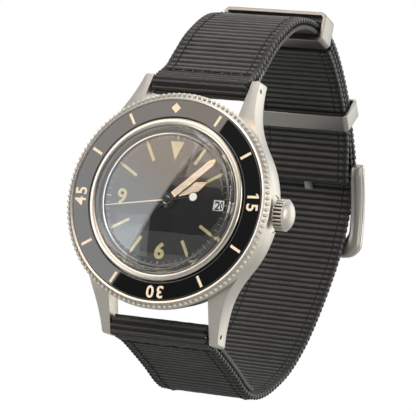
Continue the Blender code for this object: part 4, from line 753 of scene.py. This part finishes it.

# Its glow is painted light that brightens the date under the crystal.
date_white = paint("date_white", (0.86, 0.85, 0.82), (0.80, 0.79, 0.75), 0.1, glow=0.4)
date_ink = paint("date_ink", (0.012, 0.012, 0.012), (0.02, 0.02, 0.02), 0.1)
dressed("date_ring", date_white)
numbers = []
for day in range(1, DAYS + 1):
    number = numeral(str(day), 1.6, 0.06, 8.58, 8.63)
    number.transform(Matrix.Translation((10.2, 0, 0)))
    number.transform(rotation(360 * (DAY_SHOWN - day) / DAYS, "Z"))
    numbers.append(number)
piece("date_numbers", gathered(numbers), date_ink, "date")


# Hands. Rose gold frames round pale luminous fillings for the hours and minutes, and a cream
# needle for the seconds, with a black ring and a white dot on its tail.

HOUR_ANGLE = 61.5
MINUTE_ANGLE = 45.8
SECONDS_ANGLE = 260.0
DOT_AT = (-5.4, 0)

rose_gold, shader, where = material("rose_gold", Metallic=1.0)
cloud = where.noise(400.0, 2.0).between(0.3, 0.7)
feed(shader, Base_Color=cloud.mix((0.80, 0.56, 0.31), (0.88, 0.66, 0.40)),
     Roughness=0.2 + 0.06 * cloud)
# The fillings, the needle and the dot glow a little, as painted light.
hand_lume = paint("hand_lume", (0.88, 0.80, 0.74), (0.82, 0.73, 0.66), glow=0.1)
needle_cream = paint("needle_cream", (0.86, 0.72, 0.48), (0.80, 0.64, 0.40), 0.1, glow=0.05)
pearl_white = paint("pearl_white", (0.92, 0.90, 0.87), (0.86, 0.84, 0.80), 0.1, glow=0.25)
hub_black = gloss_black("hub_black", (0.01, 0.01, 0.01), 0.25, 1.5)


def framed_hand(name, node, outline, windows, z, angle, body, root):
    """A flat hand, black inside the root, then with a bevelled frame round its paint."""
    frame_solid = solid("frame", prism(outline, z, z + 0.16))
    for window in windows:
        combined(frame_solid, prism(window, z + 0.06, z + 1.0), "DIFFERENCE")
    metal = taken(frame_solid)
    upper = [edge for edge in sharp_edges(metal) if min(vert.co.z for vert in edge.verts) > z + 0.1]
    bmesh.ops.bevel(metal, geom=upper, offset=0.04, segments=2, affect="EDGES", clamp_overlap=True)
    bmesh.ops.bisect_plane(metal, geom=metal.verts[:] + metal.edges[:] + metal.faces[:],
                           plane_co=(root, 0, 0), plane_no=(1, 0, 0))
    for face in metal.faces:
        face.material_index = int(face.calc_center_median().x < root)
    aim = clock(angle - 90)
    metal.transform(aim)
    piece(name, metal, (rose_gold, hub_black), body, smooth=20, replaces=node)
    filling = gathered([prism(window, z + 0.05, z + 0.12) for window in windows])
    filling.transform(aim)
    piece(name + "_lume", filling, hand_lume, body, smooth=0)


def hub(radius, first, half_tail):
    """A hand's round middle with its square tail, open where the blade leaves it."""
    return (arc((0, 0), radius, first, 160.0, 14) + [(-2.2, half_tail), (-2.2, -half_tail)]
            + arc((0, 0), radius, 200.0, 360.0 - first, 14))


sword = [(2.4, -0.3), (6.2, -0.95), (8.5, 0.0), (6.2, 0.95), (2.4, 0.3)]
framed_hand("hour_sword", "hour_hand", hub(1.5, 12.0, 0.3) + sword,
            [[(2.6, -0.08), (5.55, -0.53), (5.55, 0.53), (2.6, 0.08)],
             [(5.95, -0.58), (6.2, -0.62), (7.75, 0.0), (6.2, 0.62), (5.95, 0.58)]],
            9.45, HOUR_ANGLE, "hour", 2.35)
pencil = [(1.5, -0.62), (10.8, -0.62), (12.1, 0.0), (10.8, 0.62), (1.5, 0.62)]
framed_hand("minute_pencil", "minute_hand", hub(1.1, 16.0, 0.25) + pencil,
            [[(1.9, -0.31), (10.6, -0.31), (11.2, 0.0), (10.6, 0.31), (1.9, 0.31)]],
            9.85, MINUTE_ANGLE, "minute", 1.49)

needle = prism([(0.5, -0.13), (12.2, -0.07), (12.2, 0.07), (0.5, 0.13)], 10.2, 10.32)
tail = gathered([
    prism([(0.6, -0.16), (0.6, 0.16), (-4.7, 0.13), (-4.7, -0.13)], 10.19, 10.31),
    prism(arc(DOT_AT, 0.92, 0.0, 360.0, 40)[:-1], 10.18, 10.34),
    lathe([(0, 10.0), (0.62, 10.0), (0.62, 10.4)] + arc((0.5, 10.42), 0.12, 0.0, 90.0, 4)
          + [(0, 10.54)], 48),
])
dot = prism(arc(DOT_AT, 0.74, 0.0, 360.0, 40)[:-1], 10.3, 10.38)
for name, mesh, finish, smooth, node in (("needle", needle, needle_cream, 0, "seconds_hand"),
                                         ("tail", tail, hub_black, 35, ""),
                                         ("dot", dot, pearl_white, 35, "")):
    mesh.transform(clock(SECONDS_ANGLE - 90))
    piece("seconds_" + name, mesh, finish, "seconds", smooth, node)


# Movement. An automatic calibre behind the dial: a brass plate, plated bridges with a striped
# grain, brass wheels on steel arbors, a heavy rotor, and a blued hairspring over the balance.

def grained(name, colour, roughness, stripes, grain):
    """Plated metal with straight decorative stripes and a fine brushed grain across them."""
    made, shader, where = material(name, Metallic=1.0)
    wave = where.maths("SINE", stripes * where.part("X"))
    band = wave.between(-0.6, 0.6)
    line = where.scaled(30.0, 1.0, 1.0).noise(grain, 2.0)
    feed(shader, Base_Color=band.mix(tuple(0.86 * value for value in colour), colour),
         Roughness=roughness + 0.12 * line, Normal=line.bump(0.25, 0.00001))
    return made


nickel_plate = grained("nickel_plate", (0.66, 0.64, 0.60), 0.24, 3600.0, 260.0)
gilt_brass = grained("gilt_brass", (0.78, 0.60, 0.32), 0.24, 9000.0, 400.0)
rotor_tungsten = grained("rotor_tungsten", (0.44, 0.43, 0.42), 0.28, 2400.0, 300.0)
blued_steel = steel("blued_steel", (0.08, 0.12, 0.36), 0.22, 0.1, 3000.0)
arbor_steel = steel("arbor_steel", (0.60, 0.59, 0.57), 0.2, 0.15, 6000.0)
seal_rubber = paint("seal_rubber", (0.022, 0.022, 0.022), (0.014, 0.014, 0.014), 0.3)
holder_nylon = paint("holder_nylon", (0.72, 0.71, 0.68), (0.64, 0.63, 0.59), 0.15)

for finish, nodes in (
        (nickel_plate, ("barrel_bridge", "train_bridge", "balance_cock", "rotor_bridge")),
        (gilt_brass, ("main_plate", "fourth_wheel", "third_wheel", "centre_wheel",
                      "mainspring_barrel", "balance_wheel", "minute_wheel", "hour_wheel")),
        (arbor_steel, ("rotor_bridge_screw_left", "rotor_bridge_screw_right", "rotor_bearing",
                       "ratchet_wheel", "escape_wheel", "pallet_fork", "cannon_pinion",
                       "winding_stem", "sliding_pinion", "winding_pinion", "crown_tube",
                       "bezel_snap_wire", "bezel_click_ring")),
        (rotor_tungsten, ("winding_rotor",)), (blued_steel, ("hairspring",)),
        (holder_nylon, ("movement_holder",)), (seal_rubber, ("back_gasket", "crown_gasket"))):
    for node in nodes:
        dressed(node, finish)


# Crown. A steel cap screwed on the winding stem, with coarse rounded flutes for the fingers and a
# smooth domed end. It stands on its tube at 3 o'clock.

# The barrel between the flutes is painted a dark brown, as painted shade.
crown_painted_shade = paint("crown_painted_shade", (0.035, 0.024, 0.02), (0.02, 0.014, 0.012), 0.3)
cap = [(1.45, 20.12), (2.68, 20.12)] + arc((2.68, 20.24), 0.12, -90.0, 90.0, 6)
cap += [(2.4, 20.36), (2.4, 21.9), (2.82, 21.9)] + arc((2.82, 22.02), 0.12, -90.0, 80.0, 6)
cap += [(2.78, 22.16), (2.74, 22.24), (2.55, 22.46), (2.2, 22.72), (1.8, 22.94), (1.35, 23.12),
        (0.9, 23.24), (0.45, 23.3), (0, 23.32), (0, 22.0), (1.45, 22.0)]
piece("crown_body", lathe(cap, 96, "x", STEM), blasted_steel, "crown_stem", smooth=35,
      replaces="crown")
barrel = [(2.3, 20.37), (2.5, 20.37), (2.5, 21.89), (2.3, 21.89)]
piece("crown_barrel", lathe(barrel, 48, "x", STEM), crown_painted_shade, "crown_stem")


def flute_row(count, circle, start, length, ridge, height):
    bar = count.node("GeometryNodeMeshCylinder", {"Vertices": 14, "Radius": ridge,
                                                  "Depth": length})
    return moved(ringed(bar, count, circle), Rotation=(0.0, math.radians(90), 0.0),
                 Translation=height.vector(x=start + length * 0.5, z=height))


grown("crown_flutes", flute_row, blasted_steel, "crown_stem", count=24,
      circle=2.7, start=20.34, length=1.58, ridge=0.225, height=STEM[2])


# Spring bars. Thin steel tubes between the lugs, with sprung tips in the drilled holes. They carry
# the two halves of the strap.

SLEEVE_RADIUS = 0.75

for label, axis in (("upper", (0, *UPPER_BAR)), ("lower", (0, *LOWER_BAR))):
    sleeve = [(0.42, -8.8), (0.66, -8.8), (SLEEVE_RADIUS, -8.7), (SLEEVE_RADIUS, 8.7),
              (0.66, 8.8), (0.42, 8.8), (0.42, 5.8), (0, 5.8), (0, -5.8), (0.42, -5.8)]
    piece(f"{label}_bar_sleeve", lathe(sleeve, 32, "x", axis), brushed_steel, "case",
          replaces=f"spring_bar_{label}")
    for side, sign in (("right", 1), ("left", -1)):
        pin = [(0, 7.4), (0.38, 7.4), (0.38, 11.28), (0.3, 11.38), (0, 11.38)]
        mesh = lathe([(radius, sign * height) for radius, height in pin], 24, "x", axis)
        piece(f"{label}_{side}_pin", mesh, arbor_steel, f"tip_{label}_{side}",
              replaces=f"spring_bar_{label}_tip_{side}")


# Strap. Two lengths of black ribbed webbing, sewn back on themselves round the spring bars and
# the buckle's bar. Their edges are braided, and lines of black thread hold the folds.

WEBBING = 1.15
LAYER = 1.25
WRAP_RADIUS = SLEEVE_RADIUS + 0.12 + WEBBING / 2
BUCKLE_BAR = (19.6, -55.2)
RIB_PITCH = 1.28
FOLD_PITCH = 0.8 * RIB_PITCH
ROLL_PITCH = 0.95
YARN = 0.00045


def smooth_path(points, step):
    """Points spaced along a Catmull-Rom curve through the given points."""
    path = [points[0]]
    ends = [points[0], *points, points[-1]]
    for index in range(1, len(ends) - 2):
        before, one, two, after = (Vector(point) for point in ends[index - 1:index + 3])
        pieces = max(1, round((two - one).length / step))
        for part in range(1, pieces + 1):
            t = part / pieces
            bend = 2 * one + (two - before) * t
            bend += (2 * before - 5 * one + 4 * two - after) * t * t
            bend += (3 * one - before - 3 * two + after) * t ** 3
            path.append(tuple(bend / 2))
    return path


def shifted(path, distance):
    """The path moved to its left by a distance."""
    moved = []
    for index, point in enumerate(path):
        back = Vector(path[max(index - 1, 0)])
        ahead = Vector(path[min(index + 1, len(path) - 1)])
        along = (ahead - back).normalized()
        moved.append(tuple(Vector(point) + distance * Vector((-along.y, along.x))))
    return moved


def wrap(centre, start, end):
    """A turn of webbing round a bar, in degrees."""
    return arc(centre, WRAP_RADIUS, start, end, max(2, round(abs(end - start) / 9)))


def lying_on(path, layers, highest, lowest):
    """The part of a path between two depths, some layers of webbing to its left."""
    return [point for point in shifted(path, layers * LAYER) if lowest < point[1] < highest]


def between(one, two, share):
    return (one[0] + (two[0] - one[0]) * share, one[1] + (two[1] - one[1]) * share)


def band(path, thickness, half_width):
    left, right = shifted(path, thickness / 2), shifted(path, -thickness / 2)
    return across(left + right[::-1], half_width)


def webbing(name, dark, light, gloss, crest_shaded=False):
    """Woven nylon, its yarns showing as fine stripes."""
    made, shader, where = material(name, Sheen_Weight=0.2, Sheen_Roughness=0.4)
    yarn = 0.5 + 0.5 * where.maths("SINE", math.tau / YARN * where.part("X"))
    fuzz = where.noise(5200.0, 3.0, 0.7)
    worn = where.noise(160.0, 3.0).between(0.3, 0.7)
    tone = 0.45 * yarn + 0.35 * fuzz + 0.2 * worn
    # Painted light and shade: a rib's crest is painted paler than its sides.
    if crest_shaded:
        crest = where.node("ShaderNodeAttribute", output="Fac", attribute_name="crest")
        tone = tone * crest.between(0.6, 1.0, 0.0, 1.75)
    feed(shader, Base_Color=tone.mix(dark, light), Roughness=gloss + 0.2 * fuzz,
         Normal=(0.6 * yarn + fuzz).bump(0.6, 0.00006))
    return made


webbing_ribs = webbing("webbing_ribs", (0.008, 0.008, 0.0075), (0.094, 0.092, 0.087), 0.5, True)
# The core is the webbing's own black, made darker than the ribs as painted shade in the gaps
# between them. The black thread uses it too.
gap_shade_and_thread = webbing("gap_shade_and_thread", (0.003, 0.003, 0.003), (0.006, 0.006, 0.006), 0.7)
# The rolls round the bars take a darker copy of the webbing, as painted shade.
shaded_webbing_roll = webbing("shaded_webbing_roll", (0.006, 0.006, 0.0055), (0.032, 0.03, 0.027), 0.2)

outer_face = [
    (27.5, 0.4), (31.4, -2.5), (35.5, -5.9), (40.4, -12.1), (42.9, -18.0), (43.7, -24.5),
    (42.8, -30.4), (40.8, -36.2), (36.6, -43.0), (31.2, -49.2), (24.6, -54.4),
]
upper_turn = wrap(UPPER_BAR, 52.0, 245.0)
buckle_turn = wrap(BUCKLE_BAR, 118.0, 308.0)
upper_path = [wrap(UPPER_BAR, 52.0, 60.0)[0], *shifted(smooth_path(outer_face, 1.0), -WEBBING / 2)]
far_fold = lying_on(upper_path, -1, -33.0, BUCKLE_BAR[1] + 3.6)
near_fold = lying_on(upper_path, -1, -2.5, -26.0)

outer_face = [
    (24.3, -56.8), (22.0, -58.0), (19.6, -58.75), (13.5, -59.0), (7.0, -58.3), (1.3, -56.6),
    (-2.3, -55.0), (-7.8, -52.2), (-13.3, -48.9), (-18.8, -44.8), (-24.5, -38.8), (-29.2, -30.7),
    (-31.3, -24.0), (-31.0, -19.0), (-28.9, -12.6), (-26.9, -5.8), (-25.6, -0.8),
]
lower_turn = wrap(LOWER_BAR, 172.0, -20.0)
lower_path = shifted(smooth_path(outer_face, 1.0), -WEBBING / 2)
tail = lying_on(upper_path, 1, -27.0, BUCKLE_BAR[1] + 3.4)
fold = lying_on(lower_path[len(lower_path) // 2:], -1, -3.0, -22.0)[::-1]


def along_route(route, spacing, shape):
    """A copy of a shape at even steps along the route, its y along it."""
    line = route.node("GeometryNodeMeshToCurve", {"Mesh": route})
    steps = line.node("GeometryNodeResampleCurve", {"Curve": line, "Length": spacing},
                      mode="LENGTH")
    tangent = line.node("GeometryNodeInputTangent")
    aim = line.node("FunctionNodeAlignRotationToVector", {"Vector": tangent},
                    axis="Y", pivot_axis="X")
    return steps.node("GeometryNodeInstanceOnPoints",
                      {"Points": steps, "Instance": shape, "Rotation": aim})


def crested(shape, value):
    """Stores how near to its crest each point of a rib or grain is, for painted light and shade."""
    return shape.node("GeometryNodeStoreNamedAttribute",
                      {"Geometry": shape, "Name": "crest", "Value": value}, data_type="FLOAT")


def ribs(route, pitch, middle, half_width, thickness):
    """Round ribs across the webbing, a little uneven."""
    bar = pitch.node("GeometryNodeMeshCylinder", {"Vertices": 12, "Side Segments": 20,
                                                  "Radius": 0.5, "Depth": half_width * 2})
    height = bar.node("GeometryNodeInputPosition").part("X")
    # Painted light: a rib is paler along its crest.
    marked = crested(bar, height.maths("ABSOLUTE", 2 * height))
    rib = moved(marked, Scale=pitch.vector(thickness, pitch * 0.83, 1.0),
                Rotation=(0.0, math.radians(90), 0.0), Translation=middle.vector(middle))
    row = along_route(route, pitch, rib)
    loose = row.node("GeometryNodeRealizeInstances", {"Geometry": row})
    spot = loose.node("GeometryNodeInputPosition")
    waver = spot.node("ShaderNodeTexNoise", {"Vector": spot, "Scale": 0.9, "Detail": 2.0},
                      "Color")
    centred = waver.node("ShaderNodeVectorMath", {0: waver, 1: (0.5, 0.5, 0.5)},
                         operation="SUBTRACT")
    return loose.node("GeometryNodeSetPosition",
                      {"Geometry": loose, "Offset": centred.scaled(0.2, 0.2, 0.2)})


def braid(route, pitch, length, width, thickness, lean, tip):
    """A column of leaning grains, as the yarn turns back at the webbing's edge."""
    grain = pitch.node("GeometryNodeMeshIcoSphere", {"Radius": 0.5, "Subdivisions": 2})
    along = grain.node("GeometryNodeInputPosition").part("Y")
    # Painted light: a grain is paler across its middle.
    marked = crested(grain, 1 - 4 * along * along)
    leaning_grain = moved(marked, Scale=pitch.vector(width, length, thickness),
                          Rotation=lean.vector(x=tip, z=lean))
    return along_route(route, pitch, leaning_grain)


def cross_seam(name, spot):
    """A wavy row of stitches across the strap, holding its fold shut."""
    half = arc((0, 0.75), 0.16, 0.0, 90.0, 3)
    profile = [(radius, -height) for radius, height in half[::-1]] + half
    stitches = []
    for index in range(9):
        stitch = lathe(profile, 12, "x")
        stitch.transform(rotation(9 if index % 2 else -7, "Y"))
        stitch.transform(Matrix.Translation((1.98 * (index - 4), *spot)))
        stitches.append(stitch)
    piece(name, gathered(stitches), gap_shade_and_thread, "case", smooth=80)


upper_hem = between(upper_path[1], upper_path[0], 0.62)
lower_hem = between(lower_path[-1], lower_turn[0], 0.5)
for half, run, hem, turn, inside in (
        ("upper", far_fold + buckle_turn + upper_path[-2:0:-1], upper_hem, upper_turn, near_fold),
        ("lower", tail + lower_path, lower_hem, lower_turn, fold)):
    piece(f"{half}_strap_core", band(run + turn + inside, 0.7, 9.1), gap_shade_and_thread, "case",
          smooth=40, replaces=f"strap_{half}")
    grown(f"{half}_strap_roll", ribs, shaded_webbing_roll, "case", "black_webbing", smooth=60,
          route=[(0, *point) for point in [hem] + turn + inside[:1]],
          pitch=ROLL_PITCH, middle=0.0, half_width=9.5, thickness=1.2)
    for row, path, pitch, tip in (("outside", run + [hem], RIB_PITCH, 0.4),
                                  ("fold", inside, FOLD_PITCH, -0.4)):
        for part, middle, half_width in (("middle", 0.0, 7.45), ("right", 8.15, 0.42),
                                         ("left", -8.15, 0.42)):
            grown(f"{half}_ribs_{row}_{part}", ribs, webbing_ribs, "case", "black_webbing",
                  smooth=60, route=[(0, *point) for point in path],
                  pitch=pitch, middle=middle, half_width=half_width, thickness=1.12)
        for side, sign in (("right", 1), ("left", -1)):
            for column, x, lean in (("inner", 8.8, 0.6), ("outer", 9.35, -0.2)):
                grown(f"{half}_braid_{row}_{column}_{side}", braid, webbing_ribs, "case",
                      "black_webbing", smooth=80,
                      route=[(sign * x, *point) for point in path],
                      pitch=pitch, length=pitch * 1.35, width=0.7, thickness=1.0,
                      lean=sign * lean, tip=tip)

over = WEBBING / 2 + 0.02
cross_seam("upper_cross_seam", between(*shifted([upper_hem, upper_path[1]], over), 0.35))
cross_seam("lower_cross_seam", between(*shifted([lower_hem, lower_path[-1]], -over), 0.6))
# A line of black thread is laid along each edge.
for half, path in (("upper", shifted(upper_path, over)[1:-4]),
                   ("lower", shifted(lower_path, over)[6:])):
    for side, x in (("right", 7.6), ("left", -7.6)):
        thread = [(x + 0.08 * math.sin(1.9 * index), *point) for index, point in enumerate(path)]
        grown(f"{half}_edge_stitch_{side}", braid, gap_shade_and_thread, "case", "black_webbing",
              smooth=80, route=thread, pitch=1.9, length=1.7, width=0.3, thickness=0.3,
              lean=0.12, tip=0.0)


# Buckle. A frame of bent steel rail, open where it turns on its bar, its outside rounded off as a
# rim over the flatter face, with a painted highlight on the rim. The tongue is a flat bar rolled
# round the same steel pin.

BUCKLE_TURN = Matrix.Translation((0, *BUCKLE_BAR)) @ rotation(17, "X")
BUCKLE_HALF = 10.05
BUCKLE_RAIL = 2.4
BUCKLE_LOW = -17.2
BUCKLE_CROSS = 3.4
BUCKLE_BOW = 1.3


def swept(stations, section, highlight_sides=(), closed=False):
    """A section of (share across, depth) pairs carried along stations. Each station is an inner
    and an outer point and the section's swell. Its highlight sides take the second finish,
    as a painted highlight."""
    mesh = bmesh.new()
    middle = Vector([sum(values) / len(section) for values in zip(*section)])
    loops = []
    for inner, outer, swell in stations:
        loop = []
        for corner in section:
            share, depth = middle + (Vector(corner) - middle) * swell
            loop.append(mesh.verts.new(inner.lerp(outer, share) + Vector((0, 0, depth))))
        loops.append(loop)
    pairs = list(zip(loops, loops[1:]))
    if closed:
        pairs.append((loops[-1], loops[0]))
    else:
        mesh.faces.new(loops[0])
        mesh.faces.new(loops[-1])
    for one, two in pairs:
        for index in range(len(section)):
            after = (index + 1) % len(section)
            side = mesh.faces.new((one[index], one[after], two[after], two[index]))
            side.material_index = int(index in highlight_sides)
    return mesh


def rail_line(half, bottom, corner, levels):
    """One side of the rail from an open end down, round the corner and along to the other end."""
    line = [(half, y) for y in levels]
    line += arc((half - corner, bottom + corner), corner, 0, -90, 12)
    line += [(x, line[-1][1]) for x in (4.0, 0.0)]
    return line + [(-x, y) for x, y in line[-2::-1]]


def buckle_stations():
    """The bent rail's stations from one open end round to the other."""
    levels = [1.4 - step * 0.62 for step in range(20)]
    inner = rail_line(BUCKLE_HALF, BUCKLE_LOW + BUCKLE_CROSS, 2.6, levels)
    outer = rail_line(BUCKLE_HALF + BUCKLE_RAIL, BUCKLE_LOW, 3.2, levels)
    bowed = []
    for pair in zip(inner, outer):
        shares = [2 * y / BUCKLE_LOW - 1 for _, y in pair]
        points = [Vector((*point, -BUCKLE_BOW * max(0.0, 1 - share * share)))
                  for point, share in zip(pair, shares)]
        bowed.append((*points, 1.0))
    rounding = []
    one, two, _ = bowed[0]
    for degrees in range(15, 91, 15):
        angle = math.radians(degrees)
        lift = Vector((0, math.sin(angle), 0))
        rounding.append((one + lift, two + lift, max(0.08, math.cos(angle) ** 0.5)))
    mirror = Vector((-1, 1, 1))
    other_end = [(one * mirror, two * mirror, swell) for one, two, swell in rounding]
    return rounding[::-1] + bowed + other_end


RAIL_SECTION = [
    (0.0, 1.15), (0.0, -1.2), (0.05, -1.4), (0.2, -1.5), (0.5, -1.5), (0.75, -1.42), (0.92, -1.22),
    (1.0, -0.92), (0.98, -0.6), (0.9, -0.38), (0.78, -0.28), (0.82, -0.1), (0.92, 0.15),
    (0.96, 0.5), (0.95, 0.85), (0.87, 1.15), (0.72, 1.38), (0.5, 1.5), (0.25, 1.5), (0.08, 1.4),
]
buckle_steel = steel("buckle_steel", (0.33, 0.32, 0.295), 0.3, 0.5, 2600.0, 0.3)
# The rim takes a lighter copy of the buckle's steel, as a painted highlight.
rim_highlight_steel = steel("rim_highlight_steel", (0.55, 0.53, 0.49), 0.26, 0.3, 2600.0)
rail = swept(buckle_stations(), RAIL_SECTION, range(4, 9))
rail.transform(BUCKLE_TURN)
piece("buckle_rail", rail, (buckle_steel, rim_highlight_steel), "buckle", smooth=50,
      replaces="buckle_frame")
pin = lathe([(0, -11.6), (0.4, -11.6), (0.4, -10.3), (0.75, -10.2), (0.75, 10.2), (0.4, 10.3),
             (0.4, 11.6), (0, 11.6)], 32, "x")
pin.transform(BUCKLE_TURN)
piece("buckle_pin", pin, buckle_steel, "buckle", replaces="buckle_bar")

blade = [
    (-1.0, -0.4), (-3.0, -1.4), (-8.0, -3.02), (-14.2, -2.47), (-17.4, -1.92), (-17.4, -2.62),
    (-14.6, -3.52), (-8.0, -4.02), (-2.6, -2.0), (-0.3, -1.2),
]
tongue = solid("tongue", across(blade, 0.88))
roll = lathe([(0.85, -0.87), (1.5, -0.87), (1.5, 0.87), (0.85, 0.87)], 40, "x")
combined(tongue, roll, "UNION")
bevel = tongue.modifiers.new("edges", "BEVEL")
bevel.width, bevel.segments, bevel.limit_method = 0.12, 2, "ANGLE"
baked(tongue)
tongue = taken(tongue)
tongue.transform(BUCKLE_TURN)
piece("buckle_blade", tongue, buckle_steel, "tongue", smooth=40,
      replaces="buckle_tongue")


# Keepers. Two flat steel bands bent into rings with soft corners. The narrow one lies by the
# buckle, and the broad one slides along the strap to hold the tail down.

KEEPER_CORNER = 0.4
QUARTERS = ((1, 1, 0), (-1, 1, 90), (-1, -1, 180), (1, -1, 270))
keeper_steel = steel("keeper_steel", (0.31, 0.3, 0.278), 0.3, 0.6, 2600.0, 0.5)


def keeper_ring(centre, tilt, inside, plate, length, edge):
    """A band of a plate's thickness, bent round an inside width and height with rounded edges."""
    def bent(grow):
        corner = KEEPER_CORNER + grow
        points = []
        for x, y, start in QUARTERS:
            middle = (x * (inside[0] / 2 + grow - corner), y * (inside[1] / 2 + grow - corner))
            points += [Vector((*point, 0)) for point in arc(middle, corner, start, start + 90, 10)]
        return points
    share = edge / plate
    section = []
    for x, y, start in QUARTERS:
        middle = (0.5 + x * (0.5 - share), y * (length / 2 - edge))
        for across_it, along_it in arc((0, 0), 1.0, start, start + 90, 4):
            section.append((middle[0] + across_it * share, middle[1] + along_it * edge))
    stations = [(one, two, 1.0) for one, two in zip(bent(0), bent(plate))]
    mesh = swept(stations, section, closed=True)
    mesh.transform(Matrix.Translation((0, *centre)) @ rotation(tilt, "X"))
    return mesh


for name, body, node, *sizes in (
        ("sewn_keeper", "strap_keeper", "fixed_keeper", (30.809, -48.778), -44.448,
         (19.9, 5.75), 0.7, 3.6, 0.18),
        ("sliding_keeper", "free_keeper", "loose_keeper", (42.857, -27.407), -5.262,
         (20.2, 4.45), 0.8, 5.0, 0.2)):
    piece(name, keeper_ring(*sizes), keeper_steel, body, smooth=40, replaces=node)
